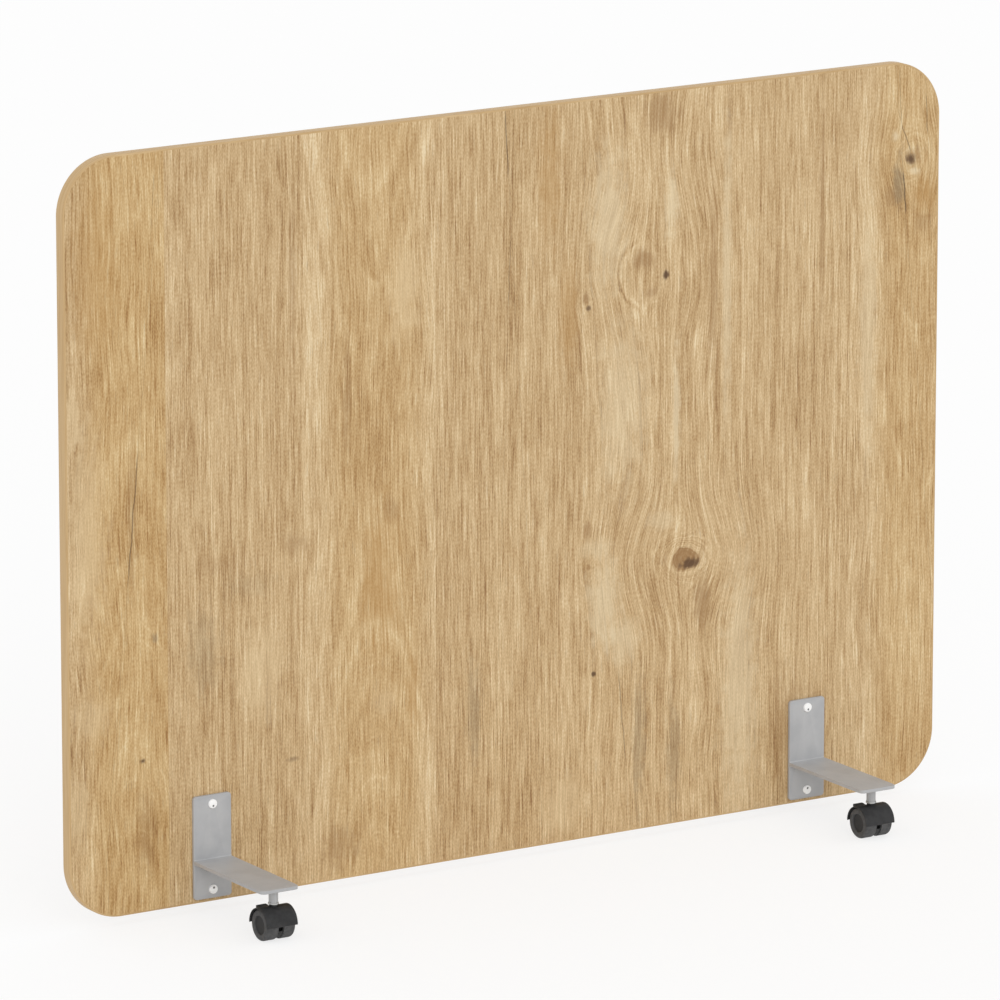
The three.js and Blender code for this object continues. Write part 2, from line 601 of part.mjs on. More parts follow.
// Everything on one face of the panel is drawn for the front. The rear is turned half round.
for (const face of ["front", "rear"]) {
  const isFront = face === "front";
  const faceGroup = new THREE.Group();
  faceGroup.rotation.z = isFront ? 0 : Math.PI;
  partition.add(faceGroup);

  for (const side of ["left", "right"]) {
    const place = `${face}_${side}`;
    const towardsSide = (side === "left" ? -1 : 1) * (isFront ? 1 : -1);
    const bracket = new THREE.Group();
    bracket.position.x = towardsSide * BRACKET_FROM_CENTRE;
    faceGroup.add(bracket);

    const holeRadius = (isFront ? BOLT_DIAMETER : SLEEVE_DIAMETER) / 2 + RUNNING_FIT;
    const plate = piece(`bracket_plate_${place}`, makePlate(holeRadius), greyPowderCoat);
    plate.position.set(0, -(PANEL_THICKNESS + PLATE_THICKNESS) / 2, PLATE_BOTTOM);
    const arm = piece(`bracket_arm_${place}`, makeArm(), greyPowderCoat);
    arm.position.set(0, -PLATE_FACE, ARM_TOP);
    const bush = piece(`bracket_bush_${place}`, makeBush(), greyPowderCoat);
    bush.position.set(0, -STEM_FROM_CENTRE, ARM_UNDERSIDE);
    bracket.add(plate, arm, bush);

    for (const [level, height] of Object.entries(BOLT_HEIGHTS)) {
      const fastener = isFront ? makeBolt() : makeSleeveNut();
      const name = isFront ? "bolt" : "sleeve_nut";
      const clamp = piece(`${name}_${side}_${level}`, fastener, darkSteel);
      clamp.position.set(0, -PLATE_FACE, height);
      const towardsMiddle = level === "upper" ? -1 : 1;
      const cap = piece(`cap_${place}_${level}`, makeCap(towardsMiddle), whiteCap);
      cap.position.copy(clamp.position);
      bracket.add(clamp, cap);
    }

    const stem = piece(`castor_stem_${place}`, makeStem(), brightZinc);
    stem.position.set(0, -STEM_FROM_CENTRE, COLLAR_UNDERSIDE);
    const ring = piece(`castor_ring_${place}`, makeRing(), darkSteel);
    ring.position.copy(stem.position);
    bracket.add(stem, ring);

    const castor = new THREE.Group();
    castor.position.set(0, -STEM_FROM_CENTRE, WHEEL_RADIUS);
    bracket.add(castor);
    castor.add(piece(`castor_housing_${place}`, makeHousing(isFront), blackPlastic));
    castor.add(piece(`castor_axle_${place}`, makeAxle(), darkSteel));
    for (const [wheelSide, turn] of [["a", Math.PI], ["b", 0]]) {
      const wheel = piece(`castor_wheel_${place}_${wheelSide}`, makeWheel(), wheelPlastic);
      wheel.rotation.z = turn;
      castor.add(wheel);
    }
    if (isFront) {
      castor.add(piece(`brake_lever_${side}`, atLever(makeLever()), blackPlastic));
      castor.add(piece(`brake_pin_${side}`, atLever(makeBrakePin()), darkSteel));
    }
  }
}

export default partition;
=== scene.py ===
# %% [markdown]
# # A rolling partition, dressed for its portrait
#
# The object is an oak-faced panel on two pairs of steel brackets, and each bracket stands on
# a small twin-wheel castor. The measured model comes in as a fixed frame. This lesson gives
# its visible pieces soft edges and smooth curves, and then the finishes that make oak look
# like oak, powder coat like powder coat and nylon like nylon. All lengths are in metres.

# %% Load the measured model
import json
import math

import bmesh
import bpy
from mathutils import Matrix, Vector

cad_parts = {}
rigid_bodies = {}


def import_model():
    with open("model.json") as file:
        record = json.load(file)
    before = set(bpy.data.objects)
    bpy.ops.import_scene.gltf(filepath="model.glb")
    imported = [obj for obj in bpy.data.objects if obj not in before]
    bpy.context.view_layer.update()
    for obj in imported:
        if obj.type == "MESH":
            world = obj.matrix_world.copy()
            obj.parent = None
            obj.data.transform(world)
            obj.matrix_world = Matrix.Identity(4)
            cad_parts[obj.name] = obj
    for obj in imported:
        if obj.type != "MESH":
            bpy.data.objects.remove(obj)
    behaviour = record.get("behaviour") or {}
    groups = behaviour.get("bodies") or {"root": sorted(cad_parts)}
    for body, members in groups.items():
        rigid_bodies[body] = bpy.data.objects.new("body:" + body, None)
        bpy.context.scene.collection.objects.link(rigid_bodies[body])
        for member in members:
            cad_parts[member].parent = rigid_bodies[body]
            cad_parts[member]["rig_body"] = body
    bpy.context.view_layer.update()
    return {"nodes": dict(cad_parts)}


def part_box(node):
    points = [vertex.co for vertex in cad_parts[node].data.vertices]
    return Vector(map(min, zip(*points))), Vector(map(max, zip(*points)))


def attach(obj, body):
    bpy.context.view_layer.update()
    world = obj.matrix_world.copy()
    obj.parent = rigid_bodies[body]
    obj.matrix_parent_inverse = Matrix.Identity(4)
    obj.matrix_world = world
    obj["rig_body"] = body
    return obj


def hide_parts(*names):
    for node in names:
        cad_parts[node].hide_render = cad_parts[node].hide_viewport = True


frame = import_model()
print("pieces in the measured model:", len(frame["nodes"]))

# %% [markdown]
# ## The camera
#
# The portrait was taken from the front left, a little above the object, with a long lens
# from far away, so near and far pieces are almost the same size. The camera could look level
# and shift its picture, but then every other view of the scene would be off centre. It looks
# down a little instead, and its place was fitted to the corners of the panel.

# %% Camera
CAMERA_PLACE = Vector((-5.40733, -8.54876, 2.80874))
CAMERA_TURN = math.radians(32.2447)
CAMERA_DIP = math.radians(13.2164)
SENSOR_WIDTH = 36.0
LENS_PER_PIXEL = 8893.65 / 1000

looking = Vector((
    math.sin(CAMERA_TURN) * math.cos(CAMERA_DIP),
    math.cos(CAMERA_TURN) * math.cos(CAMERA_DIP),
    -math.sin(CAMERA_DIP),
))
camera_data = bpy.data.cameras.new("camera")
camera_data.sensor_width = SENSOR_WIDTH
camera_data.lens = SENSOR_WIDTH * LENS_PER_PIXEL
camera_data.clip_end = 200
camera = bpy.data.objects.new("camera", camera_data)
camera.location = CAMERA_PLACE
camera.rotation_euler = looking.to_track_quat("-Z", "Y").to_euler()
bpy.context.scene.collection.objects.link(camera)
bpy.context.scene.camera = camera
print("lens in millimetres:", round(camera_data.lens, 1))

# %% [markdown]
# ## Helpers for node trees
#
# A finish is a tree of shader nodes. Writing each node and each link in full would bury the
# idea under bookkeeping, so a few helpers do that. A number that varies over the surface is
# kept as a Value: adding or multiplying it grows a Math node, so a formula stays a formula.
# Colours are written as they look on a screen, from 0 to 255, and turned into the linear
# values that the shader mixes.

# %% Node helpers
MM = 0.001


def paint(red, green, blue):
    """A screen colour as the linear red, green, blue and alpha that a shader takes."""
    def linear(value):
        share = value / 255
        return share / 12.92 if share <= 0.04045 else ((share + 0.055) / 1.055) ** 2.4
    return (linear(red), linear(green), linear(blue), 1.0)


def feed(tree, node, feeds):
    """Fills the sockets of a node by plain values or by the outputs of other nodes."""
    for socket, value in feeds.items():
        value = getattr(value, "socket", value)
        if isinstance(value, bpy.types.NodeSocket):
            tree.links.new(value, node.inputs[socket])
        else:
            node.inputs[socket].default_value = value
    return node


def add(tree, kind, feeds=None, **settings):
    """A new node, with its settings made and its sockets filled."""
    node = tree.nodes.new(kind)
    for name, value in settings.items():
        setattr(node, name, value)
    return feed(tree, node, feeds or {})


class Value:
    """A number or vector that varies over the surface. Arithmetic on it grows Math nodes."""

    def __init__(self, tree, socket):
        self.tree = tree
        self.socket = socket

    def math(self, operation, *others, turned_round=False):
        values = (*others, self) if turned_round else (self, *others)
        node = add(self.tree, "ShaderNodeMath", dict(enumerate(values)), operation=operation)
        return Value(self.tree, node.outputs[0])

    def __add__(self, other):
        return self.math("ADD", other)

    def __sub__(self, other):
        return self.math("SUBTRACT", other)

    def __rsub__(self, other):
        return self.math("SUBTRACT", other, turned_round=True)

    def __mul__(self, other):
        return self.math("MULTIPLY", other)

    def __truediv__(self, other):
        return self.math("DIVIDE", other)

    def __rtruediv__(self, other):
        return self.math("DIVIDE", other, turned_round=True)

    def __abs__(self):
        return self.math("ABSOLUTE")


def point(tree, *values):
    """A vector from three values."""
    return Value(tree, add(tree, "ShaderNodeCombineXYZ", dict(enumerate(values))).outputs[0])


def noise(vector, detail=2.0, roughness=0.5, scale=1.0):
    """Noise between 0 and 1 at a vector, about 0.5 on average."""
    feeds = {"Vector": vector, "Scale": scale, "Detail": detail, "Roughness": roughness}
    return Value(vector.tree, add(vector.tree, "ShaderNodeTexNoise", feeds).outputs["Fac"])


def spread(value, low, high, new_low=0.0, new_high=1.0, smooth_ends=False):
    """A value mapped from one range to another, and held inside it."""
    feeds = {"Value": value, "From Min": low, "From Max": high, "To Min": new_low, "To Max": new_high}
    curve = "SMOOTHSTEP" if smooth_ends else "LINEAR"
    node = add(value.tree, "ShaderNodeMapRange", feeds, interpolation_type=curve)
    return Value(value.tree, node.outputs[0])


def ramp(factor, stops, interpolation="LINEAR"):
    """The colour at a factor on a ramp through (position, colour) stops."""
    node = add(factor.tree, "ShaderNodeValToRGB", {"Fac": factor})
    node.color_ramp.interpolation = interpolation
    elements = node.color_ramp.elements
    while len(elements) < len(stops):
        elements.new(1.0)
    for element, (position, colour) in zip(elements, stops):
        element.position = position
        element.color = colour
    return node.outputs["Color"]


def blend(share, first, second):
    """Two colours mixed by a share."""
    feeds = {0: share, 6: first, 7: second}
    return add(share.tree, "ShaderNodeMix", feeds, data_type="RGBA", clamp_factor=True).outputs[2]


def bump(height, strength, distance):
    """The normal of a relief that is up to so many millimetres high."""
    feeds = {"Height": height, "Strength": strength, "Distance": distance * MM}
    return add(height.tree, "ShaderNodeBump", feeds).outputs[0]


def group(name, inputs, outputs):
    """A new node group, the values given to it by name, and its output node."""
    tree = bpy.data.node_groups.new(name, "ShaderNodeTree")
    for way, sockets in (("INPUT", inputs), ("OUTPUT", outputs)):
        for socket in sockets:
            tree.interface.new_socket(socket, in_out=way, socket_type="NodeSocketFloat")
    start = tree.nodes.new("NodeGroupInput")
    given = {socket: Value(tree, start.outputs[socket]) for socket in inputs}
    return tree, given, tree.nodes.new("NodeGroupOutput")


def use(tree, made, feeds):
    """A node group placed in a tree. It gives back the group's outputs by name."""
    node = add(tree, "ShaderNodeGroup", feeds, node_tree=made)
    return {socket.name: Value(tree, socket) for socket in node.outputs}


def new_material(name):
    """An empty material, with its tree and its shader."""
    material = bpy.data.materials.new(name)
    material.use_nodes = True
    return material, material.node_tree, material.node_tree.nodes["Principled BSDF"]


def object_place(tree):
    """The place on the object, in metres."""
    return Value(tree, add(tree, "ShaderNodeTexCoord").outputs["Object"])


# %% [markdown]
# ## Oak laminate: the sheet
#
# The faces are a printed oak pattern under a matt film, made as if seven sawn boards lay side
# by side. An image would be the quick way, but it would hold one size and one place only.
# Here the grain is grown the way a tree grows it: each board is cut at some distance from the
# heart of its trunk, and the colour follows the distance from that heart. Boards cut close to
# the heart show pointed arches, and boards cut far from it show straight lines.
#
# The pattern is laid out in millimetres on the front. The rear is the same sheet turned half
# round, so no figure stands opposite itself.

# %% Sheet coordinates
panel_low, panel_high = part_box("panel_edge_band")
SHEET_WIDTH = (panel_high.x - panel_low.x) / MM
SHEET_HEIGHT = (panel_high.z - panel_low.z) / MM

oak_laminate, oak, oak_shader = new_material("oak laminate")
split = add(oak, "ShaderNodeSeparateXYZ", {0: object_place(oak)})
x, y, z = (Value(oak, socket) for socket in split.outputs)
turn = y.math("LESS_THAN", 0.0) * 2.0 - 1.0
across = x * turn / MM
up = (z - (panel_low.z + panel_high.z) / 2) * turn / MM + SHEET_HEIGHT / 2
print("sheet in millimetres:", round(SHEET_WIDTH), "by", round(SHEET_HEIGHT))

# %% [markdown]
# ## Oak laminate: the boards
#
# Each board has its own heart line: how far across the sheet it lies, how deep below the face
# it is, and where along the board it is deepest. Arches point up below that place and down
# above it. A board whose heart lies far away has straight grain. A colour ramp with hard
# steps hands each board its own value.

# %% Boards
#   right edge, heart across, deepest, where up, fall per metre squared, wildness, tone,
#   warmth beside the heart, light sapwood at the edges
BOARDS = (
    (-469, -512, 150, 1100, 100, 0.7, 0.47, 1.00, 0.0),
    (-290, -1100, 300, 400, 0, 0.10, 0.48, 0.0, 0.0),
    (-108, -190, 110, 560, 300, 0.60, 0.51, 0.60, 0.8),
    (90, -700, 300, 400, 0, 0.15, 0.48, 0.0, 0.0),
    (286, 720, 200, 100, 0, 1.0, 0.50, 0.0, 0.0),
    (472, 1300, 300, 400, 0, 0.10, 0.50, 0.0, 0.0),
    (SHEET_WIDTH / 2, 578, 140, -200, 100, 0.5, 0.49, 0.65, 0.6),
)
sheet_share = across / SHEET_WIDTH + 0.5


def by_board(column, low, high):
    """The value that a column of BOARDS holds for the board at this place."""
    stops = []
    left = -SHEET_WIDTH / 2
    for board in BOARDS:
        share = (board[column] - low) / (high - low)
        stops.append(((left + SHEET_WIDTH / 2) / SHEET_WIDTH, (share, share, share, 1)))
        left = board[0]
    return Value(oak, ramp(sheet_share, stops, "CONSTANT")) * (high - low) + low


seed = by_board(0, -600, 600)
heart_across = by_board(1, -2000, 2000)
heart_depth = by_board(2, 0, 400)
deepest_at = by_board(3, 0, 1000)
fall = by_board(4, 0, 200)
wildness = by_board(5, 0, 2)
board_tone = by_board(6, 0, 1)
board_warmth = by_board(7, 0, 1)
board_sapwood = by_board(8, 0, 1)

# %% [markdown]
# ## Oak laminate: knots
#
# A knot is a branch that the board was sawn across. The grain of the trunk parts and flows
# round it, and inside it the rings of the branch close on themselves. One node group makes
# any knot: it pushes the grain aside, gives the distance from the knot's middle, and says
# where the knot takes over from the trunk.

# %% The knot group
SPOT = ("Middle across", "Middle up", "Half width", "Half height")
KNOT_PUSH = -0.55
KNOT_REACH = -0.28

knot_group, given, knot_out = group(
    "knot", ("Across", "Up", "Ragged", *SPOT, "Lean"), ("Push", "Distance", "Inside"))
above = given["Up"] - given["Middle up"]
leaned = given["Across"] - given["Middle across"] + above * given["Lean"]
wide = leaned / given["Half width"]
tall = above / given["Half height"]
squares = wide * wide + tall * tall
distance = squares.math("SQRT") + given["Ragged"] * 0.3
reach = (squares * KNOT_REACH).math("EXPONENT")
feed(knot_group, knot_out, {
    "Push": leaned * reach * KNOT_PUSH,
    "Distance": distance,
    "Inside": spread(distance, 1.3, 0.7, smooth_ends=True)})

# %% The knots on this sheet
#   middle across, middle up, half width, half height, lean, share of the ring pattern inside
KNOTS = {
    "oval": (180, 671, 36, 42, 0.1, 0.30),
    "swirl": (240, 322, 44, 32, 0.15, 0.9),
    "corner": (560, 772, 26, 28, -0.2, 0.6),
    "small": (100, 646, 8, 11, 0.0, 0.9),
}
ragged = noise(point(oak, across / 14, up / 18, 2.0), 3.0, 0.6) - 0.5
knots = {}
for name, (*spot, lean, _) in KNOTS.items():
    knots[name] = use(oak, knot_group, {
        "Across": across, "Up": up, "Ragged": ragged, **dict(zip(SPOT, spot)), "Lean": lean})
pushed = across
for knot in knots.values():
    pushed = pushed + knot["Push"]

# %% [markdown]
# ## Oak laminate: rings, streaks, fibres and pores
#
# Two coordinates carry the pattern. The distance from the heart is the ring coordinate: noise
# that is stretched along the board and read there gives growth rings and streaks, which close
# into arches. The fibre coordinate runs straight across the board, and only parts round the
# knots. Read there, noise gives the fine lines, hairs and open pores, which always run along
# the board.

# %% Ring and fibre coordinates
WANDER = 8.0
SWAY = 4.0

bend = (noise(point(oak, pushed / 90, up / 190, seed), 1.0) - 0.5) * wildness * (4 * WANDER)
sway = (noise(point(oak, up / 180, seed, 5.0), 0.0) - 0.5) * wildness * (4 * SWAY)
fibre = pushed + bend
side = fibre - heart_across
along = (up - deepest_at) * MM
depth = heart_depth - along * along * fall + sway
ring = (side * side + depth * depth).math("SQRT")


def mixed(share, first, second):
    """A value that goes from the first to the second as the share grows."""
    return (second - first) * share + first


def distance_from_heart(middle_across, middle_up):
    """The ring coordinate of one point of the sheet, apart from its waviness."""
    board = next(row for row in BOARDS if middle_across < row[0])
    _, heart, deepest, where, drop = board[:5]
    return math.hypot(middle_across - heart, deepest - drop * ((middle_up - where) * MM) ** 2)


for name, knot in knots.items():
    middle_across, middle_up, half_width, _, _, ring_share = KNOTS[name]
    spacing = half_width * ring_share
    own_ring = knot["Distance"] * spacing + (distance_from_heart(middle_across, middle_up) - spacing)
    ring = mixed(knot["Inside"], ring, own_ring)


def grain(coordinate, width, length, shift, detail=2.0, roughness=0.55):
    """Noise about zero with features so many millimetres wide and long, along a coordinate."""
    return noise(point(oak, coordinate / width, up / length, seed + shift), detail, roughness) - 0.5


figure = wildness * 0.45 + 0.60
rings = grain(ring, 17, 420, 0.0) * figure
streaks = grain(ring, 6, 260, 7.3) * figure
lines = grain(fibre, 2.5, 150, 13.7, detail=1.0)
hairs = grain(fibre, 1.35, 38, 17.9) * spread(grain(across, 14, 50, 3.3), -0.20, 0.20, 0.6, 1.4)
grit = grain(across, 1.3, 3.2, 4.1, detail=0.0)
pores = grain(fibre, 1.6, 24, 21.1, detail=1.0)
cloud = grain(across, 50, 110, 0.0, detail=3.0)

# %% Thin lines that follow the rings
vein = spread(abs(grain(ring, 11, 300, 33.0, detail=1.0)), 0.035, 0.0)
vein = vein * spread(grain(across, 30, 60, 41.0), -0.05, 0.15) * spread(wildness, 0.2, 0.4)
inside_branch = knots["corner"]["Inside"] * 0.5 + knots["swirl"]["Inside"]
tight_rings = grain(ring, 2.0, 60, 51.0, detail=1.0) * inside_branch
rim_of_oval = spread(abs(knots["oval"]["Distance"] - 0.98), 0.09, 0.0) * spread(across, 180.0, 150.0)

# %% [markdown]
# ## Oak laminate: tones
#
# The layers add up to one tone, and a colour ramp turns the tone into brown or straw. Wood
# near the heart is warmer and plainer than the greyer, more fibrous wood far from it.

# %% Oak tones
TONES = ((0.08, paint(144, 108, 68)), (0.30, paint(177, 143, 97)), (0.50, paint(199, 169, 125)),
         (0.70, paint(217, 190, 147)), (0.92, paint(234, 214, 176)))
WARM_TONES = ((0.08, paint(146, 104, 56)), (0.30, paint(179, 141, 88)), (0.50, paint(198, 164, 113)),
              (0.70, paint(214, 185, 136)), (0.92, paint(231, 209, 165)))
PORE_BROWN = paint(140, 110, 74)

beside_heart = abs(side)
warmth = spread(beside_heart, 85.0, 35.0, smooth_ends=True) * board_warmth
sapwood = spread(beside_heart, 48.0, 72.0, smooth_ends=True) * board_sapwood
tone = board_tone
for layer, strength in (
        (sapwood, 0.08), (vein, 0.14), (tight_rings, 0.9), (rim_of_oval, -0.30), (rings, 0.46),
        (streaks, 0.36), (lines, 0.60), (hairs, 0.94), (grit, 0.40), (pores, 0.40), (cloud, 0.30)):
    tone = tone + layer * strength
oak_colour = blend(warmth, ramp(tone, TONES), ramp(tone, WARM_TONES))
pore_share = spread(pores, 0.12, 0.32, 0.0, 0.55)
oak_colour = blend(pore_share, oak_colour, PORE_BROWN)

# %% [markdown]
# ## Oak laminate: stains and cracks
#
# The hearts of knots, pin knots and mineral streaks are dark spots with a soft, ragged edge.
# Drying cracks are thin dark lines that follow the grain.

# %% Stains
stain_group, given, stain_out = group(
    "stain", ("Across", "Up", "Ragged", *SPOT, "Strength"), ("Share",))
wide = (given["Across"] - given["Middle across"]) / given["Half width"]
tall = (given["Up"] - given["Middle up"]) / given["Half height"]
distance = (wide * wide + tall * tall).math("SQRT") + given["Ragged"] * 1.5
share = spread(distance, 1.2, 0.25, smooth_ends=True) * given["Strength"]
feed(stain_group, stain_out, {"Share": share})

BROWN = paint(150, 113, 70)
BARK = paint(88, 60, 36)
GREY = paint(128, 112, 88)
STRAW = paint(226, 202, 160)
CREAM = paint(228, 210, 174)
GOLD = paint(180, 138, 80)
#   middle across, middle up, half width, half height, strength, colour
STAINS = (
    (-572, 450, 30, 150, 0.38, STRAW),
    (-590, 590, 12, 40, 0.40, STRAW),
    (-570, 240, 30, 30, 0.36, STRAW),
    (-590, 130, 18, 50, 0.38, STRAW),
    (-560, 760, 40, 110, 0.32, GOLD),
    (-500, 100, 14, 60, 0.40, BROWN),
    (-515, 470, 8, 110, 0.30, BROWN),
    (-485, 322, 5, 8, 0.50, GREY),
    (-503, 180, 5, 4, 0.90, BARK),
    (-400, 398, 56, 16, 0.20, BROWN),
    (-360, 368, 40, 20, 0.16, GREY),
    (-300, 410, 20, 16, 0.38, BROWN),
    (-345, 265, 34, 70, 0.38, STRAW),
    (-420, 300, 26, 60, 0.25, GREY),
    (-302, 154, 10, 4, 0.42, BARK),
    (-300, 720, 7, 150, 0.34, BROWN),
    (-150, 690, 22, 75, 0.42, STRAW),
    (-228, 570, 7, 90, 0.45, BROWN),
    (-170, 434, 14, 18, 0.38, BROWN),
    (-182, 350, 28, 95, 0.48, GOLD),
    (-140, 215, 10, 60, 0.42, GOLD),
    (-178, 205, 20, 18, 0.30, STRAW),
    (-238, 42, 30, 36, 0.45, BROWN),
    (48, 800, 20, 95, 0.40, GOLD),
    (74, 640, 14, 75, 0.40, GOLD),
    (-55, 180, 12, 70, 0.32, GREY),
    (66, 45, 32, 42, 0.40, STRAW),
    (130, 745, 30, 95, 0.45, CREAM),
    (150, 520, 38, 110, 0.35, CREAM),
    (218, 750, 10, 46, 0.60, CREAM),
    (225, 500, 7, 90, 0.60, CREAM),
    (125, 280, 26, 62, 0.50, CREAM),
    (150, 235, 30, 34, 0.40, CREAM),
    (116, 350, 24, 14, 0.28, CREAM),
    (205, 374, 22, 14, 0.30, CREAM),
    (277, 640, 9, 150, 0.36, BROWN),
    (175, 110, 12, 100, 0.34, GREY),
    (225, 90, 12, 80, 0.30, GREY),
    (205, 862, 28, 32, 0.52, BROWN),
    (178, 692, 20, 13, 0.52, BROWN),
    (211, 669, 5, 5, 0.95, BARK),
    (190, 650, 9, 6, 0.40, BROWN),
    (99, 652, 6, 9, 0.60, BROWN),
    (103, 641, 5, 4, 0.75, BARK),
    (240, 322, 30, 17, 0.80, BROWN),
    (247, 316, 14, 7, 0.90, BARK),
    (263, 268, 14, 38, 0.55, BROWN),
    (111, 199, 4, 3, 0.90, BARK),
    (102, 374, 9, 12, 0.50, BROWN),
    (104, 330, 4, 5, 0.65, BROWN),
    (318, 155, 30, 190, 0.42, CREAM),
    (297, 650, 8, 210, 0.42, CREAM),
    (432, 730, 4, 160, 0.42, BROWN),
    (392, 95, 32, 90, 0.28, BROWN),
    (500, 560, 14, 190, 0.35, CREAM),
    (581, 724, 16, 28, 0.50, GOLD),
    (542, 746, 9, 34, 0.55, GREY),
    (530, 728, 9, 16, 0.40, BROWN),
    (562, 774, 17, 20, 0.45, BROWN),
    (538, 801, 7, 9, 0.60, CREAM),
    (563, 756, 10, 5, 0.60, CREAM),
    (576, 694, 16, 14, 0.30, BROWN),
    (559, 771, 9, 8, 0.90, BARK),
)
fibrous = ragged + (lines + streaks) * 0.7
for *spot, strength, colour in STAINS:
    stain = use(oak, stain_group, {
        "Across": across, "Up": up, "Ragged": fibrous, **dict(zip(SPOT, spot)), "Strength": strength})
    oak_colour = blend(stain["Share"], oak_colour, colour)

# %% Cracks
ENDS = ("Foot across", "Foot up", "Top across", "Top up", "Half width")

crack_group, given, crack_out = group("drying crack", ("Across", "Up", "Wiggle", *ENDS), ("Share",))
part = (given["Up"] - given["Foot up"]) / (given["Top up"] - given["Foot up"])
line = part * (given["Top across"] - given["Foot across"]) + given["Foot across"] + given["Wiggle"]
opening = spread(part * (1.0 - part), 0.0, 0.12) * given["Half width"]
feed(crack_group, crack_out, {"Share": spread(abs(given["Across"] - line) - opening, 0.4, -0.4)})

#   foot across, foot up, top across, top up, half width, share of full darkness
CRACKS = (
    (-521, 384, -505, 548, 0.7, 0.60),
    (-484, 825, -481, 862, 0.4, 0.45),
    (-8, 806, -13, 889, 0.8, 0.60),
    (-8, 652, -5, 742, 0.5, 0.50),
    (156, 84, 146, 202, 0.6, 0.50),
    (553, 704, 548, 758, 0.8, 0.75),
    (558, 780, 546, 814, 0.6, 0.65),
    (545, 812, 541, 885, 0.4, 0.45),
    (583, 798, 580, 850, 0.5, 0.60),
)
CRACK_BROWN = paint(70, 54, 36)
wiggle = noise(point(oak, up / 24, 0.5, 1.0)) * 5.0 - 2.5
for *ends, darkness in CRACKS:
    crack = use(oak, crack_group, {
        "Across": across, "Up": up, "Wiggle": wiggle, **dict(zip(ENDS, ends))})
    oak_colour = blend(crack["Share"] * darkness, oak_colour, CRACK_BROWN)

# %% [markdown]
# ## Oak laminate: the film
#
# The film over the print is pressed against a sheet with shallow pores, so the dark pores are
# also a little lower and duller than the rest. The same values that colour the print make the
# relief and the roughness, and so they always lie in the same places.

# %% Relief and sheen of the sheet
feed(oak, oak_shader, {
    "Base Color": oak_colour,
    "Roughness": pore_share * 0.20 + spread(hairs, -0.3, 0.3, 0.54, 0.46),
    "Normal": bump(pore_share * -1.2 + hairs * 0.6, strength=0.25, distance=0.08),
    "Specular IOR Level": 0.35})
print("nodes in the oak:", len(oak.nodes))

# %% [markdown]
# ## Shared effects: skin, edges and painted hollow shade
#
# Powder coat, zinc and moulded nylon look different close by, but they share two effects. The
# first is a fine skin: a small uneven pattern for relief and sheen, at a size of its own for
# each finish. The second is the lightening of edges, where a coat lies thin or gets rubbed,
# together with painted shade: hollows and inner corners are coloured darker, as if shade fell
# there. Both could be built anew in each material, but a node group is built once and keeps
# them alike.

# %% The skin and edge groups
skin_group, given, skin_out = group("fine skin", ("Grain size", "Patch size"), ("Relief", "Patches"))
spot = object_place(skin_group)
feed(skin_group, skin_out, {
    "Relief": noise(spot, detail=2.0, scale=1 / MM / given["Grain size"]),
    "Patches": noise(spot, detail=3.0, scale=1 / MM / given["Patch size"])})

edge_and_shade_group, given, edge_out = group("rubbed edges and hollow shade", ("Start", "End", "Patches"), ("Edges", "Hollow shade"))
pointed = Value(edge_and_shade_group, add(edge_and_shade_group, "ShaderNodeNewGeometry").outputs["Pointiness"])
rubbed = spread(pointed, given["Start"], given["End"])
broken = spread(given["Patches"], 0.35, 0.60, 0.4, 1.0)
# The hollows mask picks out inward curves and corners; the colour given to it is painted shade.
feed(edge_and_shade_group, edge_out, {"Edges": rubbed * broken, "Hollow shade": spread(pointed, 0.50, 0.44)})


def finish(name, colours, sheen, grain_size, patch_size, height, metallic=0.0, specular=0.5,
           edges=(0.51, 0.58)):
    """A material of one substance, coloured for its dark and light patches and edges, with painted shade
    in its hollows.
    """
    dark, light, rubbed_colour, hollow_shade_colour = (paint(*colour) for colour in colours)
    material, tree, shader = new_material(name)
    skin = use(tree, skin_group, {"Grain size": grain_size, "Patch size": patch_size})
    edge = use(tree, edge_and_shade_group, {"Start": edges[0], "End": edges[1], "Patches": skin["Patches"]})
    colour = ramp(skin["Patches"], ((0.35, dark), (0.65, light)))
    colour = blend(edge["Edges"], colour, rubbed_colour)
    # Painted shade: the hollows are coloured darker, standing in for the shade that falls in them.
    colour = blend(edge["Hollow shade"], colour, hollow_shade_colour)
    feed(tree, shader, {
        "Base Color": colour,
        "Roughness": spread(skin["Relief"], 0.3, 0.7, *sheen),
        "Normal": bump(skin["Relief"], 0.5, height),
        "Metallic": metallic,
        "Specular IOR Level": specular})
    return material


# %% [markdown]
# ## Coats, metals and nylons
#
# - Powder coat is grey plastic that melted on to the steel. It keeps a faint orange peel.
# - Zinc plate is bright metal, a little cloudy.
# - The caps are glossy white plastic.
# - The housings and levers are black nylon with a fine moulded grain. The wheels are a shade
#   lighter, coarser and scuffed. The disc in the middle of each wheel is coloured darker, as
#   painted shade for its recess.
# - Bolts, nuts, axles and pins are dark steel. It is what shows through the hole of a cap.
# - Every finish is also coloured darker in its hollows, as painted shade.

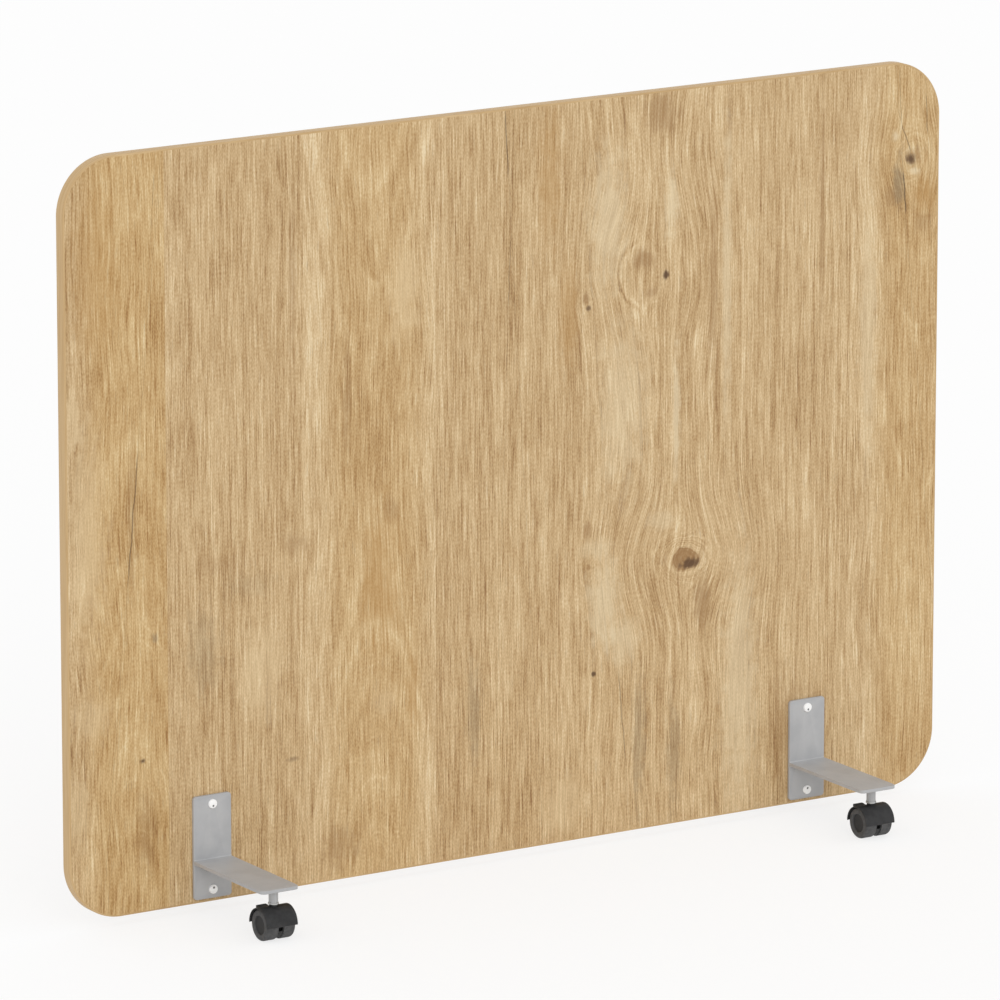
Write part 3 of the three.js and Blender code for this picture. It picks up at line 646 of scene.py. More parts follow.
# %% Coats, metals and nylons
# Each finish lists dark patches, light patches, rubbed edges, and the darker colour of its hollows, which
# is painted shade.
grey_coat = finish(
    "grey powder coat", ((169, 170, 172), (173, 174, 176), (192, 192, 192), (146, 145, 144)),
    sheen=(0.50, 0.40), grain_size=1.1, patch_size=25, height=0.03, edges=(0.515, 0.60))
bright_zinc = finish(
    "bright zinc plate", ((176, 176, 172), (198, 199, 199), (222, 222, 220), (120, 118, 114)),
    sheen=(0.38, 0.26), grain_size=0.5, patch_size=6, height=0.01, metallic=1.0)
white_cap = finish(
    "white cover plastic", ((250, 250, 249), (254, 254, 253), (255, 255, 255), (190, 190, 188)),
    sheen=(0.30, 0.22), grain_size=0.4, patch_size=5, height=0.005)
black_nylon = finish(
    "black nylon", ((33, 33, 34), (41, 41, 42), (66, 66, 66), (22, 22, 22)),
    sheen=(0.70, 0.56), grain_size=0.45, patch_size=9, height=0.02, specular=0.35)
wheel_nylon = finish(
    "dark grey nylon", ((66, 66, 67), (76, 76, 77), (106, 106, 106), (44, 44, 44)),
    sheen=(0.74, 0.58), grain_size=0.6, patch_size=4, height=0.03, specular=0.35)
# The hub disc colour is painted shade: the recess floor is coloured darker than the wheel, standing in
# for the shade in the recess.
hub_shade_nylon = finish(
    "hub disc nylon with painted recess shade", ((50, 50, 51), (56, 56, 57), (74, 74, 74), (36, 36, 36)),
    sheen=(0.74, 0.60), grain_size=0.5, patch_size=5, height=0.02, specular=0.3)
dark_steel = finish(
    "dark steel", ((84, 83, 82), (104, 103, 102), (150, 149, 147), (48, 47, 46)),
    sheen=(0.50, 0.36), grain_size=0.4, patch_size=3, height=0.01, metallic=1.0)

# %% [markdown]
# ## The edge band's print
#
# The band is printed plastic in the colour of the sheet, with faint lines along its length.
# Its length turns the corners, but its width always lies along Y. So a noise that changes fast
# along Y and slowly along X and Z gives lines that follow the outline all the way round.

# %% Edge band print
oak_edge, tree, shader = new_material("oak edge band")
stretched = add(tree, "ShaderNodeMapping", {"Vector": object_place(tree), "Scale": (14.0, 700.0, 14.0)})
printed = noise(Value(tree, stretched.outputs[0]), 3.0, 0.6)
feed(tree, shader, {
    "Base Color": ramp(printed, ((0.30, paint(187, 153, 106)), (0.50, paint(197, 165, 118)),
                                 (0.72, paint(208, 178, 133)))),
    "Roughness": spread(printed, 0.3, 0.7, 0.52, 0.44),
    "Normal": bump(printed, strength=0.2, distance=0.05),
    "Specular IOR Level": 0.3})

# %% [markdown]
# ## Helpers for meshes
#
# Every new piece is shaped by mesh operators: a block or a thin outline is extruded, spun and
# bevelled. Faces that meet at a blunt angle are shaded as one curve, and sharper corners stay
# crisp. Holes and joined mouldings are made with the Boolean modifier, whose result is kept.

# %% Mesh helpers
CRISP = 35


def block(low, high):
    """A box between two corners, in millimetres, as the start of a piece."""
    shape = bmesh.new()
    low, high = Vector(low) * MM, Vector(high) * MM
    size = Matrix.Diagonal((*(high - low), 1))
    bmesh.ops.create_cube(shape, size=1, matrix=Matrix.Translation((low + high) / 2) @ size)
    return shape


def turned(profile, steps=64):
    """A profile of (along X, radius) points in millimetres, spun about the X axis."""
    shape = bmesh.new()
    points = [shape.verts.new((along * MM, radius * MM, 0)) for along, radius in profile]
    for first, second in zip(points, points[1:]):
        shape.edges.new((first, second))
    bmesh.ops.spin(shape, geom=shape.verts[:] + shape.edges[:], cent=(0, 0, 0), axis=(1, 0, 0),
                   angle=math.tau, steps=steps, use_merge=True, use_normal_flip=False)
    bmesh.ops.remove_doubles(shape, verts=shape.verts[:], dist=1e-7)
    bmesh.ops.recalc_face_normals(shape, faces=shape.faces[:])
    return shape


def extruded(outline, half_width):
    """A side view of (Y, Z) points in millimetres, made so wide to both sides along X."""
    shape = bmesh.new()
    points = [shape.verts.new((-half_width * MM, y * MM, z * MM)) for y, z in outline]
    face = shape.faces.new(points)
    grown = bmesh.ops.extrude_face_region(shape, geom=[face], use_keep_orig=True)
    moved = [item for item in grown["geom"] if isinstance(item, bmesh.types.BMVert)]
    bmesh.ops.translate(shape, verts=moved, vec=(2 * half_width * MM, 0, 0))
    bmesh.ops.recalc_face_normals(shape, faces=shape.faces[:])
    return shape


def move(shape, matrix):
    bmesh.ops.transform(shape, matrix=matrix, verts=shape.verts[:])


def keep_upper_half(shape):
    """Cuts a closed shape along the plane Z = 0, drops the lower part and closes the rest."""
    bmesh.ops.bisect_plane(shape, geom=shape.verts[:] + shape.edges[:] + shape.faces[:], dist=1e-6,
                           plane_co=(0, 0, 0), plane_no=(0, 0, 1), clear_inner=True)
    bmesh.ops.holes_fill(shape, edges=[edge for edge in shape.edges if edge.is_boundary], sides=0)
    bmesh.ops.recalc_face_normals(shape, faces=shape.faces[:])


def soften(shape, radius, chosen, segments=3):
    """Rounds the edges for which chosen(edge) is true."""
    edges = [edge for edge in shape.edges if len(edge.link_faces) == 2 and chosen(edge)]
    bmesh.ops.bevel(shape, geom=edges, offset=radius * MM, offset_type="OFFSET", affect="EDGES",
                    segments=segments, profile=0.5, material=-1, clamp_overlap=True)


def corner(edge, angle=60):
    """True where two faces meet at more than an angle in degrees."""
    return edge.calc_face_angle(0) > math.radians(angle)


def radius_of(vert):
    return math.hypot(vert.co.y, vert.co.z) / MM


def ring_at(along, radius):
    """Chooses the edges of one ring of a turned piece."""
    def chosen(edge):
        return all(abs(vert.co.x / MM - along) < 0.01 and abs(radius_of(vert) - radius) < 0.01
                   for vert in edge.verts)
    return chosen


def parallel(edge, axis):
    direction = (edge.verts[1].co - edge.verts[0].co).normalized()
    return abs(direction[axis]) > 0.999


def as_object(shape, name):
    """Turns a mesh in the making into an object of the scene."""
    mesh = bpy.data.meshes.new(name)
    shape.to_mesh(mesh)
    shape.free()
    made = bpy.data.objects.new(name, mesh)
    bpy.context.scene.collection.objects.link(made)
    return made


def carve(piece, joined=(), cut=()):
    """Joins some objects to a piece, cuts others from it, and keeps the result as its mesh.

    Boolean loses the smallest faces of shapes this small, so it works on them 1000 times
    as large. Points closer than a thousandth of a millimetre are then merged.
    """
    for item in (piece, *joined, *cut):
        item.data.transform(Matrix.Scale(1 / MM, 4))
    for operation, tools in (("UNION", joined), ("DIFFERENCE", cut)):
        for tool in tools:
            step = piece.modifiers.new(operation.lower(), "BOOLEAN")
            step.operation = operation
            step.solver = "EXACT"
            step.object = tool
    evaluated = piece.evaluated_get(bpy.context.evaluated_depsgraph_get())
    result = bpy.data.meshes.new_from_object(evaluated)
    piece.modifiers.clear()
    shape = bmesh.new()
    shape.from_mesh(result)
    bmesh.ops.remove_doubles(shape, verts=shape.verts[:], dist=0.001)
    bmesh.ops.scale(shape, vec=(MM, MM, MM), verts=shape.verts[:])
    shape.to_mesh(result)
    shape.free()
    piece.data = result
    for tool in (*joined, *cut):
        bpy.data.objects.remove(tool)
    return piece


def open_edges(piece):
    """How many edges of a piece have no two faces. A sound solid has none."""
    shape = bmesh.new()
    shape.from_mesh(piece.data)
    count = sum(not edge.is_manifold for edge in shape.edges)
    shape.free()
    return count


def smooth(mesh):
    """Shades a mesh as curves, apart from its crisp corners."""
    shape = bmesh.new()
    shape.from_mesh(mesh)
    for face in shape.faces:
        face.smooth = True
    for edge in shape.edges:
        edge.smooth = not corner(edge, CRISP)
    shape.to_mesh(mesh)
    shape.free()


def dress(piece, nodes, slot, *materials):
    """Finishes a piece: its materials, the body it rides on and the nodes it stands for."""
    chosen = [face.material_index for face in piece.data.polygons]
    piece.data.materials.clear()
    for material in materials:
        piece.data.materials.append(material)
    for face, number in zip(piece.data.polygons, chosen):
        face.material_index = min(number, len(materials) - 1)
    smooth(piece.data)
    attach(piece, frame["nodes"][nodes[0]]["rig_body"])
    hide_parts(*nodes)
    return piece


def copy_to(pattern, name, place):
    """A copy of a finished shape, moved into place inside its own mesh."""
    made = bpy.data.objects.new(name, pattern.data.copy())
    made.data.transform(place)
    bpy.context.scene.collection.objects.link(made)
    return made

# %% [markdown]
# ## Where the brackets stand
#
# There are four brackets: left and right, front and rear. A rear bracket is a front one that
# is turned half round, so each shape is made once, for the front, with X along the panel and
# -Y away from it. A matrix then brings it to each of the four places.

# %% Places
def middle(node):
    low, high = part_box(node)
    return (low + high) / 2


def place_of(face, side):
    """The matrix from a bracket's own frame, on the panel's middle plane, to the scene."""
    across = middle(f"bracket_plate_{face}_{side}").x
    half_turn = Matrix.Rotation(math.pi if face == "rear" else 0, 4, "Z")
    return Matrix.Translation((across, 0, 0)) @ half_turn


places = {(face, side): place_of(face, side) for face in ("front", "rear") for side in ("left", "right")}
axle_middle = middle("castor_axle_front_left")
stem_reach = -axle_middle.y
wheel_height = axle_middle.z
castor_frame = Matrix.Translation((0, -stem_reach, wheel_height))
print("millimetres out to the stems:", round(stem_reach / MM, 1))

# %% [markdown]
# ## The edge band
#
# A band of plastic 2 mm thick is glued round the board, and its outer corners are scraped to
# a small radius, which catches the light along the whole outline. It starts as the panel's
# block. Its four upright corners are rounded, both faces are inset by the thickness of the
# band and taken out, and a wall between them makes the inside of the ring.

# %% Edge band
BAND_THICKNESS = 2.0
PANEL_CORNER = 67.0
BAND_ARRIS = 0.9

band = block(panel_low / MM, panel_high / MM)
soften(band, PANEL_CORNER, lambda edge: parallel(edge, 1), segments=40)
faces = [face for face in band.faces if abs(face.normal.y) > 0.9]
bmesh.ops.inset_individual(band, faces=faces, thickness=BAND_THICKNESS * MM, use_even_offset=True)
inner = [face for face in band.faces if face in faces]
rims = [edge for face in inner for edge in face.edges]
bmesh.ops.delete(band, geom=inner, context="FACES_ONLY")
bmesh.ops.bridge_loops(band, edges=rims)
bmesh.ops.recalc_face_normals(band, faces=band.faces[:])
panel_middle = (panel_low + panel_high) / 2
outline = {edge for edge in band.edges
           if corner(edge) and any(abs(face.normal.y) < 0.1 and face.normal.dot(
               face.calc_center_median() - panel_middle) > 0 for face in edge.link_faces)}
soften(band, BAND_ARRIS, lambda edge: edge in outline)
edge_band = dress(as_object(band, "edge_band"), ["panel_edge_band"], "edge_band", oak_edge)
print("edge band faces:", len(edge_band.data.polygons))
frame["nodes"]["panel_board"].data.materials.clear()
frame["nodes"]["panel_board"].data.materials.append(oak_laminate)

# %% [markdown]
# ## The bracket plates
#
# Each plate is cut from 4 mm steel, with rounded corners, and the powder coat rounds every
# edge a little more. A block gets its four corners and then its rims bevelled, and two
# cylinders cut the bolt holes. The bolts are wider apart than the arm, one above it and one
# below.

# %% Plates
PLATE_CORNER = 4.0
COATED_EDGE = 0.5
BOLT_INSET = 10.5
HOLES = {"front": 2.8, "rear": 3.8}


def rod_along_y(radius, length, place, steps=32):
    """A cylinder along Y, in millimetres, as a tool or a piece."""
    shape = bmesh.new()
    turn = Matrix.Rotation(math.pi / 2, 4, "X")
    bmesh.ops.create_cone(shape, cap_ends=True, segments=steps, radius1=radius * MM,
                          radius2=radius * MM, depth=length * MM, matrix=Matrix.Translation(place) @ turn)
    return as_object(shape, "rod")


for (face, side), place in places.items():
    node = f"bracket_plate_{face}_{side}"
    low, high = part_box(node)
    plate = block(low / MM, high / MM)
    soften(plate, PLATE_CORNER, lambda edge: parallel(edge, 1), segments=8)
    soften(plate, COATED_EDGE, corner)
    across, along = (low.x + high.x) / 2, (low.y + high.y) / 2
    drills = [rod_along_y(HOLES[face], 20, (across, along, height))
              for height in (low.z + BOLT_INSET * MM, high.z - BOLT_INSET * MM)]
    piece = carve(as_object(plate, f"plate_{face}_{side}"), cut=drills)
    dress(piece, [node], "bracket", grey_coat)
print("plates made:", len(places))

# %% [markdown]
# ## The arms
#
# An arm is a strip of the same steel, welded across the plate, with its two outer corners
# rounded. Its side view is drawn as one thin face and extruded across its width. The tip
# corners and the coated rims are bevelled after that, and the two inner corners against the
# plate are bevelled hollow, for the small ground weld that the coat has filled.

# %% Arms
ARM_THICKNESS = 4.0
WELD = 1.5
LIP = 0.05
FILLET = 0.5
TIP_CORNER = 6.0
#   from the middle plane of the panel
PLATE_FACE = 12.0

for (face, side), place in places.items():
    node = f"bracket_arm_{face}_{side}"
    low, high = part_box(node)
    width, reach = (high.x - low.x) / MM, (high.y - low.y) / MM
    top = high.z / MM - WELD
    foot = -ARM_THICKNESS
    side_view = [(-reach, 0), (-LIP, 0), (-LIP, FILLET), (0, WELD), (0, foot - WELD),
                 (-LIP, foot - FILLET), (-LIP, foot), (-reach, foot)]
    arm = extruded([(y - PLATE_FACE, z + top) for y, z in side_view], width / 2)
    tip = (-reach - PLATE_FACE) * MM
    soften(arm, TIP_CORNER, lambda edge: parallel(edge, 2) and all(
        abs(vert.co.y - tip) < 1e-6 for vert in edge.verts), segments=10)
    hollows = ((-PLATE_FACE - LIP, top), (-PLATE_FACE - LIP, top - ARM_THICKNESS))
    soften(arm, FILLET, lambda edge: parallel(edge, 0) and any(
        abs(edge.verts[0].co.y / MM - y) + abs(edge.verts[0].co.z / MM - z) < 0.01 for y, z in hollows),
        segments=6)
    near_plate = (-PLATE_FACE - WELD) * MM - 2e-6
    soften(arm, COATED_EDGE, lambda edge: corner(edge) and not any(
        vert.co.y > near_plate for vert in edge.verts))
    move(arm, place)
    piece = as_object(arm, f"arm_{face}_{side}")
    dress(piece, [node], "bracket", grey_coat)
print("arms made:", len(places))

# %% [markdown]
# ## Bushes and stems
#
# A turned bush is welded under each arm. The castor's stem screws into it up to a collar, and
# the pin below the collar is what the castor swivels on. Both are made by spinning half of
# their outline about an axis, as on a lathe, and then rounding the rings that show.

# %% Bushes and stems
BUSH_RADIUS = 5.5
BUSH_BORE = 4.15
BUSH_TOP = 2.0
COLLAR_RADIUS = 6.25
COLLAR_THICKNESS = 2.0
STUD_RADIUS = 4.0
PIN_RADIUS = 2.5
GROOVE_RADIUS = 2.0
GROOVE_WIDTH = 1.4
GROOVE_TO_END = 2.0

upright = Matrix.Rotation(-math.pi / 2, 4, "Y")

bush_low, bush_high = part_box("bracket_bush_front_left")
bush_length = (bush_high.z - bush_low.z) / MM
bush = turned([(-BUSH_TOP, 0), (-BUSH_TOP, BUSH_BORE), (-bush_length, BUSH_BORE),
               (-bush_length, BUSH_RADIUS), (0, BUSH_RADIUS), (0, 0)])
soften(bush, 0.5, ring_at(-bush_length, BUSH_RADIUS))
move(bush, upright)
bush_pattern = as_object(bush, "bush_pattern")

stem_low, stem_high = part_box("castor_stem_front_left")
collar_underside = bush_low.z - COLLAR_THICKNESS * MM
pin_end = (stem_low.z - collar_underside) / MM
stud_end = (stem_high.z - collar_underside) / MM
groove = pin_end + GROOVE_TO_END
stem = turned([(pin_end, 0), (pin_end, PIN_RADIUS), (groove, PIN_RADIUS), (groove, GROOVE_RADIUS),
               (groove + GROOVE_WIDTH, GROOVE_RADIUS), (groove + GROOVE_WIDTH, PIN_RADIUS),
               (0, PIN_RADIUS), (0, COLLAR_RADIUS), (COLLAR_THICKNESS, COLLAR_RADIUS),
               (COLLAR_THICKNESS, STUD_RADIUS), (stud_end, STUD_RADIUS), (stud_end, 0)])
soften(stem, 0.35, ring_at(0, COLLAR_RADIUS))
soften(stem, 0.35, ring_at(COLLAR_THICKNESS, COLLAR_RADIUS))
soften(stem, 0.5, ring_at(pin_end, PIN_RADIUS), segments=1)
soften(stem, 0.5, ring_at(stud_end, STUD_RADIUS), segments=1)
move(stem, upright)
stem_pattern = as_object(stem, "stem_pattern")

for (face, side), place in places.items():
    under_arm = place @ Matrix.Translation((0, -stem_reach, bush_high.z))
    piece = copy_to(bush_pattern, f"bush_{face}_{side}", under_arm)
    dress(piece, [f"bracket_bush_{face}_{side}"], "bush", grey_coat)
    at_collar = place @ Matrix.Translation((0, -stem_reach, collar_underside))
    piece = copy_to(stem_pattern, f"stem_{face}_{side}", at_collar)
    dress(piece, [f"castor_stem_{face}_{side}"], "stem", bright_zinc)
bpy.data.objects.remove(bush_pattern)
bpy.data.objects.remove(stem_pattern)

# %% [markdown]
# ## Cover caps
#
# A white cap snaps over the head of each bolt and sleeve nut. It is a shallow dome with a
# small hole for the tip of a tool that pries it off, placed off its middle, towards the
# middle of the plate.

# %% Cover caps
CAP_RADIUS = 5.45
CAP_HEIGHT = 2.75
CAP_RECESS_RADIUS = 4.65
CAP_RECESS_DEPTH = 1.75
CAP_SHOULDER = 2.35
CAP_ROUNDING = 1.1
PRY_HOLE_RADIUS = 1.4
PRY_HOLE_OFFSET = 2.3

to_front = Matrix.Rotation(-math.pi / 2, 4, "Z")


def make_cap(hole_side):
    cap = turned([(CAP_RECESS_DEPTH, 0), (CAP_RECESS_DEPTH, CAP_RECESS_RADIUS),
                  (0, CAP_RECESS_RADIUS), (0, CAP_RADIUS), (CAP_SHOULDER, CAP_RADIUS),
                  (CAP_HEIGHT, 0)])
    soften(cap, CAP_ROUNDING, ring_at(CAP_SHOULDER, CAP_RADIUS), segments=5)
    move(cap, to_front)
    piece = as_object(cap, "cap_pattern")
    spot = (0, -3.5 * MM, hole_side * PRY_HOLE_OFFSET * MM)
    drill = rod_along_y(PRY_HOLE_RADIUS, 4, spot, steps=24)
    return carve(piece, cut=[drill])


cap_patterns = {"lower": make_cap(1), "upper": make_cap(-1)}
plate_low, plate_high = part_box("bracket_plate_front_left")
heights = {"lower": plate_low.z + BOLT_INSET * MM, "upper": plate_high.z - BOLT_INSET * MM}
for (face, side), place in places.items():
    for level, height in heights.items():
        spot = place @ Matrix.Translation((0, plate_low.y, height))
        piece = copy_to(cap_patterns[level], f"cap_{face}_{side}_{level}_cover", spot)
        dress(piece, [f"cap_{face}_{side}_{level}"], "cover_cap", white_cap)
for pattern in cap_patterns.values():
    bpy.data.objects.remove(pattern)
print("caps made:", 2 * len(places))

# %% [markdown]
# ## Castor wheels
#
# Each castor has two moulded wheels. Their treads are rounded towards the outer face, which
# has a raised ring round a shallow recess, and they are hollow inside to clear the hub. One
# wheel is spun from its outline. The other is the same wheel turned round.

# %% Wheels
WHEEL_RADIUS = 18.5
TREAD_INNER, FACE_OUTER = 3.8, 19.0
RECESS_RADIUS, FLOOR_RADIUS, RECESS_FLOOR = 11.5, 10.7, 17.0
HUB_ROOM, HUB_ROOM_RADIUS = 6.3, 14.75
AXLE_BORE, AXLE_BORE_END = 2.8, 15.3
TREAD_ROUNDING = 3.0

wheel = turned([(AXLE_BORE_END, 0), (AXLE_BORE_END, AXLE_BORE), (HUB_ROOM, AXLE_BORE),
                (HUB_ROOM, HUB_ROOM_RADIUS), (TREAD_INNER, HUB_ROOM_RADIUS),
                (TREAD_INNER, WHEEL_RADIUS), (FACE_OUTER, WHEEL_RADIUS), (FACE_OUTER, RECESS_RADIUS),
                (RECESS_FLOOR, FLOOR_RADIUS), (RECESS_FLOOR, 0)], steps=80)
soften(wheel, TREAD_ROUNDING, ring_at(FACE_OUTER, WHEEL_RADIUS), segments=8)
soften(wheel, 0.6, ring_at(TREAD_INNER, WHEEL_RADIUS))
soften(wheel, 0.5, ring_at(FACE_OUTER, RECESS_RADIUS))
soften(wheel, 0.3, ring_at(RECESS_FLOOR, FLOOR_RADIUS), segments=2)
# Painted shade: the floor of the recess gets the darker hub disc colour, standing in for its shade.
recess_shade_faces = [face for face in wheel.faces if all(
    abs(vert.co.x / MM - RECESS_FLOOR) < 0.4 and radius_of(vert) < RECESS_RADIUS - 0.4
    for vert in face.verts)]
for face in recess_shade_faces:
    face.material_index = 1
wheel_pattern = as_object(wheel, "wheel_pattern")
for (face, side), place in places.items():
    for letter, turn in (("a", math.pi), ("b", 0)):
        spot = place @ castor_frame @ Matrix.Rotation(turn, 4, "Z")
        piece = copy_to(wheel_pattern, f"wheel_{face}_{side}_{letter}", spot)
        dress(piece, [f"castor_wheel_{face}_{side}_{letter}"], "wheel", wheel_nylon, hub_shade_nylon)
bpy.data.objects.remove(wheel_pattern)

# %% [markdown]
# ## Castor housings
#
# The housing is one nylon moulding: a half-round hood over both wheels, a web that hangs
# between them, a hub disc round the axle and a short neck under the collar. Hood and upper
# web are one turned shape, of which the upper half is kept. Boolean joins the rest and cuts
# the bores. Its result is only sure when no two faces lie in one plane, so a hair of 0.05 mm
# keeps them apart. The front castors also have a slot and a window for the brake lever.

# %% Housings
HOOD_HALF, HOOD_INSIDE, HOOD_OUTSIDE = 20.5, 19.1, 20.4
WEB_HALF, WEB_RADIUS = 3.5, 17.2
NOTCH_START, NOTCH_DEPTH = 11.2, 6.0
HUB_HALF, HUB_RADIUS = 6.0, 14.5
NECK_RADIUS, NECK_FOOT, NECK_TOP = 5.0, 19.7, 22.4
STEM_BORE, STEM_BORE_FOOT = 2.8, 5.0
POCKET_RADIUS, POCKET_FOOT, POCKET_TOP = 3.7, 7.4, 9.0
PIVOT_BACK, PIVOT_UP = 9.0014, 9.0014
SLOPE = math.radians(8)
AXLE_HOLE = 2.65
PIN_HOLE = 1.4
LEVER_SLOT = ((-1.8, -3.1, -3.1), (1.8, 19.5, 4.25))
LEVER_WINDOW = ((-7.3, 3.5, -1.8), (7.3, 20, 4.3))
RIGHT_THROUGH = 30
HAIR = 0.05


def rod_between(radius, start, end, steps=48):
    """A cylinder between two points in millimetres."""
    start, end = Vector(start) * MM, Vector(end) * MM
    along = end - start
    shape = bmesh.new()
    place = Matrix.Translation((start + end) / 2) @ along.to_track_quat("Z", "Y").to_matrix().to_4x4()
    bmesh.ops.create_cone(shape, cap_ends=True, segments=steps, radius1=radius * MM,
                          radius2=radius * MM, depth=along.length, matrix=place)
    return as_object(shape, "rod")


def across_middle(radius, half_length=RIGHT_THROUGH):
    """A cylinder along X, as long to the left as to the right."""
    return rod_between(radius, (-half_length, 0, 0), (half_length, 0, 0))


lever_frame = (Matrix.Translation((0, PIVOT_BACK * MM, PIVOT_UP * MM))
               @ Matrix.Rotation(SLOPE, 4, "X"))


def in_lever_frame(piece):
    piece.data.transform(lever_frame)
    return piece


def make_housing(has_brake):
    hood = turned([(-WEB_HALF, 0), (-WEB_HALF, HOOD_INSIDE), (-HOOD_HALF, HOOD_INSIDE),
                   (-HOOD_HALF, HOOD_OUTSIDE), (HOOD_HALF, HOOD_OUTSIDE), (HOOD_HALF, HOOD_INSIDE),
                   (WEB_HALF, HOOD_INSIDE), (WEB_HALF, 0)], steps=96)
    keep_upper_half(hood)
    soften(hood, 0.45, lambda edge: corner(edge) and all(
        radius_of(vert) > HOOD_OUTSIDE - 0.05 for vert in edge.verts))
    piece = as_object(hood, "housing")
    thin = WEB_HALF - HAIR
    lower_web = turned([(-thin, 0), (-thin, WEB_RADIUS), (thin, WEB_RADIUS), (thin, 0)])
    soften(lower_web, 0.6, ring_at(-thin, WEB_RADIUS))
    soften(lower_web, 0.6, ring_at(thin, WEB_RADIUS))
    disc = turned([(-HUB_HALF, 0), (-HUB_HALF, HUB_RADIUS), (HUB_HALF, HUB_RADIUS), (HUB_HALF, 0)])
    neck = rod_between(NECK_RADIUS, (0, 0, NECK_FOOT), (0, 0, NECK_TOP))
    notch = block((-WEB_HALF - 3 * HAIR, -HOOD_OUTSIDE - 1, -NOTCH_DEPTH),
                  (WEB_HALF + 3 * HAIR, -NOTCH_START, -HAIR))
    added = [as_object(lower_web, "web"), as_object(disc, "disc"), neck]
    cuts = [
        rod_between(STEM_BORE, (0, 0, STEM_BORE_FOOT), (0, 0, RIGHT_THROUGH)),
        rod_between(POCKET_RADIUS, (0, 0, POCKET_FOOT), (0, 0, POCKET_TOP)),
        across_middle(AXLE_HOLE),
        as_object(notch, "notch"),
    ]
    if has_brake:
        room = [as_object(block(*LEVER_SLOT), "slot"), as_object(block(*LEVER_WINDOW), "window"),
                across_middle(PIN_HOLE)]
        cuts += [in_lever_frame(tool) for tool in room]
    return carve(piece, joined=added, cut=cuts)


housing_patterns = {"front": make_housing(True), "rear": make_housing(False)}
for (face, side), place in places.items():
    piece = copy_to(housing_patterns[face], f"housing_{face}_{side}", place @ castor_frame)
    dress(piece, [f"castor_housing_{face}_{side}"], "castor_housing", black_nylon)
for pattern in housing_patterns.values():
    print("housing faces:", len(pattern.data.polygons), "open edges:", open_edges(pattern))
    bpy.data.objects.remove(pattern)

# %% [markdown]
# ## Brake levers
#
# A lever turns on a pin in the web, passes through the slot and ends in a flat pad behind the
# hood. Foot pressure on the pad swings it down on to both treads. The pad is a bevelled block
# with three shallow grooves for grip, joined to a tapered tongue and a round eye.

# %% Brake levers
PAD = ((-7.0, 7.0014, 1.0), (7.0, 20.0014, 4.0))
PAD_UNDERSIDE, PAD_TOP = PAD[0][2], PAD[1][2]
EYE_RADIUS = 2.8
TONGUE_HALF = 1.5
TONGUE_END = 8.5
PAD_CORNER = 1.6
PAD_BACK = 19.0
GRIP_GROOVES = (13.0, 15.2, 17.4)
GROOVE_CUTTER = 0.35


def make_lever():
    pad = block(*PAD)
    soften(pad, PAD_CORNER, lambda edge: parallel(edge, 2) and all(
        vert.co.y > PAD_BACK * MM for vert in edge.verts), segments=5)
    soften(pad, 0.5, corner)
    piece = as_object(pad, "lever")
    root = EYE_RADIUS - HAIR
    outline = [(0, -root), (TONGUE_END, PAD_UNDERSIDE + HAIR), (TONGUE_END, PAD_TOP - HAIR), (0, root)]
    tongue = as_object(extruded(outline, TONGUE_HALF), "tongue")
    eye = across_middle(EYE_RADIUS, TONGUE_HALF + HAIR)
    grooves = [rod_between(GROOVE_CUTTER, (-8, y, PAD_TOP + 0.1), (8, y, PAD_TOP + 0.1), steps=12)
               for y in GRIP_GROOVES]
    carve(piece, joined=[tongue, eye], cut=[across_middle(PIN_HOLE, 8), *grooves])
    return in_lever_frame(piece)


lever_pattern = make_lever()
for side in ("left", "right"):
    piece = copy_to(lever_pattern, f"lever_{side}", places["front", side] @ castor_frame)
    dress(piece, [f"brake_lever_{side}"], "brake_lever", black_nylon)
print("lever faces:", len(lever_pattern.data.polygons), "open edges:", open_edges(lever_pattern))
bpy.data.objects.remove(lever_pattern)

# %% [markdown]
# ## Bolts, nuts, rings, axles and pins
#
# These are hidden inside the other pieces, or seen only through the hole of a cap or between
# the wheels. The shapes from the measured model are good enough for that, so they stay as
# they are and only get the dark steel.

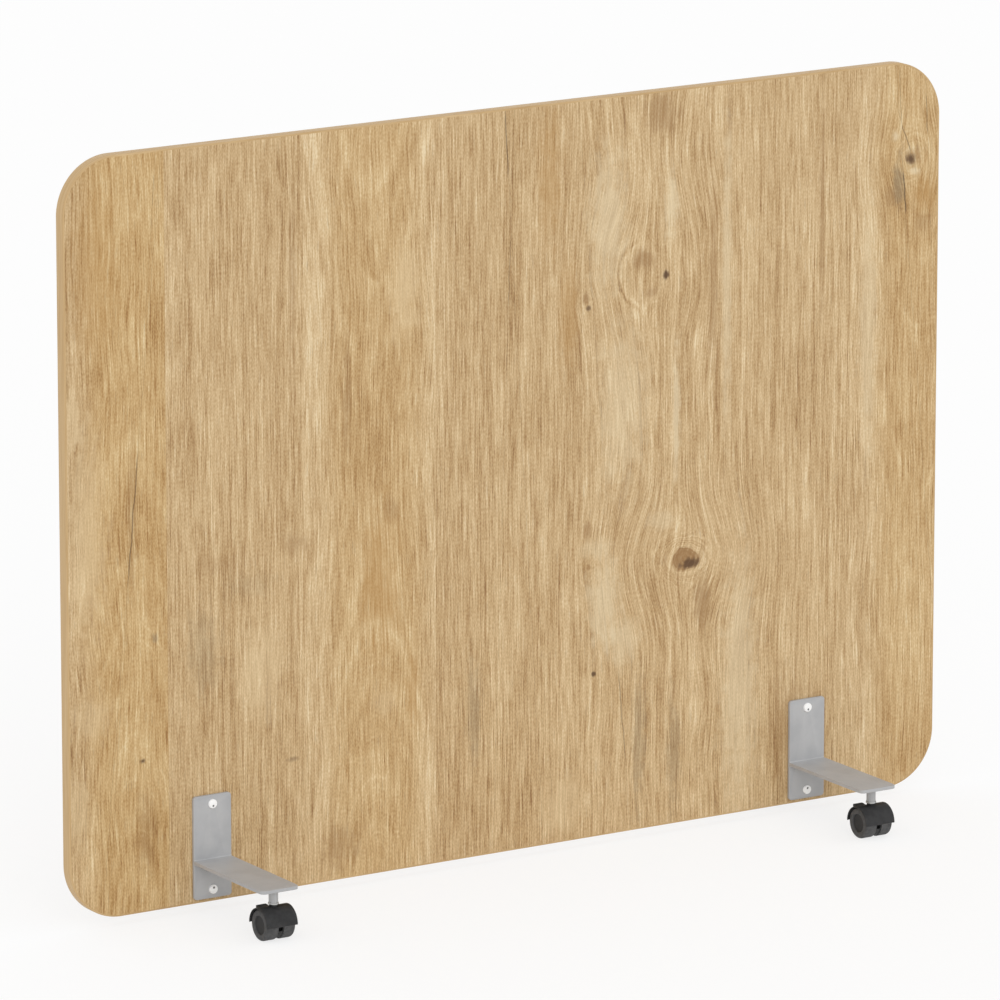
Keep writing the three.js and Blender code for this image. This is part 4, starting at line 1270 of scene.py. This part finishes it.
# %% Metal of the fasteners
hidden = [node for name, node in frame["nodes"].items() if name.startswith(
    ("bolt", "sleeve_nut", "castor_ring", "castor_axle", "brake_pin"))]
for node in hidden:
    node.data.materials.clear()
    node.data.materials.append(dark_steel)
print("steel pieces kept from the measured model:", len(hidden))

# %% [markdown]
# ## Floor and light
#
# The partition is shown on white, in even light from all sides, so it has hardly any shadow.
# A white world lights it, one wide soft sun from the front left gives it a little shape, and
# a white floor carries a faint shadow.

# %% Floor and light
floor_shape = bmesh.new()
bmesh.ops.create_grid(floor_shape, x_segments=1, y_segments=1, size=60)
floor = as_object(floor_shape, "floor")


def straight_seen(tree):
    """One for rays that look straight, in gloss or through glass, and zero for the others."""
    rays = add(tree, "ShaderNodeLightPath").outputs
    seen = Value(tree, rays["Is Camera Ray"])
    for kind in ("Is Glossy Ray", "Is Transmission Ray"):
        seen = seen.math("MAXIMUM", rays[kind])
    return seen


WHITE = paint(255, 255, 255)
FLOOR_LIFT = 0.75
ROOM_LEVEL = 0.85

floor_white, tree, _ = new_material("white floor")
tree.nodes.clear()
matt = add(tree, "ShaderNodeBsdfDiffuse", {"Color": WHITE})
glow = add(tree, "ShaderNodeEmission", {"Color": WHITE, "Strength": 1.0})
both = add(tree, "ShaderNodeMixShader", {0: straight_seen(tree) * FLOOR_LIFT, 1: matt.outputs[0],
                                         2: glow.outputs[0]})
add(tree, "ShaderNodeOutputMaterial", {"Surface": both.outputs[0]})
floor.data.materials.append(floor_white)

world = bpy.data.worlds.new("white room")
bpy.context.scene.world = world
world.use_nodes = True
tree = world.node_tree
tree.nodes.clear()
level = straight_seen(tree) * (1 - ROOM_LEVEL) + ROOM_LEVEL
background = add(tree, "ShaderNodeBackground", {"Color": WHITE, "Strength": level})
add(tree, "ShaderNodeOutputWorld", {"Surface": background.outputs[0]})

sun_data = bpy.data.lights.new("sun", "SUN")
sun_data.energy = 0.55
sun_data.angle = math.radians(35)
sun = bpy.data.objects.new("sun", sun_data)
sun.rotation_euler = Vector((0.35, 0.85, -0.50)).to_track_quat("-Z", "Y").to_euler()
bpy.context.scene.collection.objects.link(sun)

bpy.context.scene.view_settings.view_transform = "Standard"
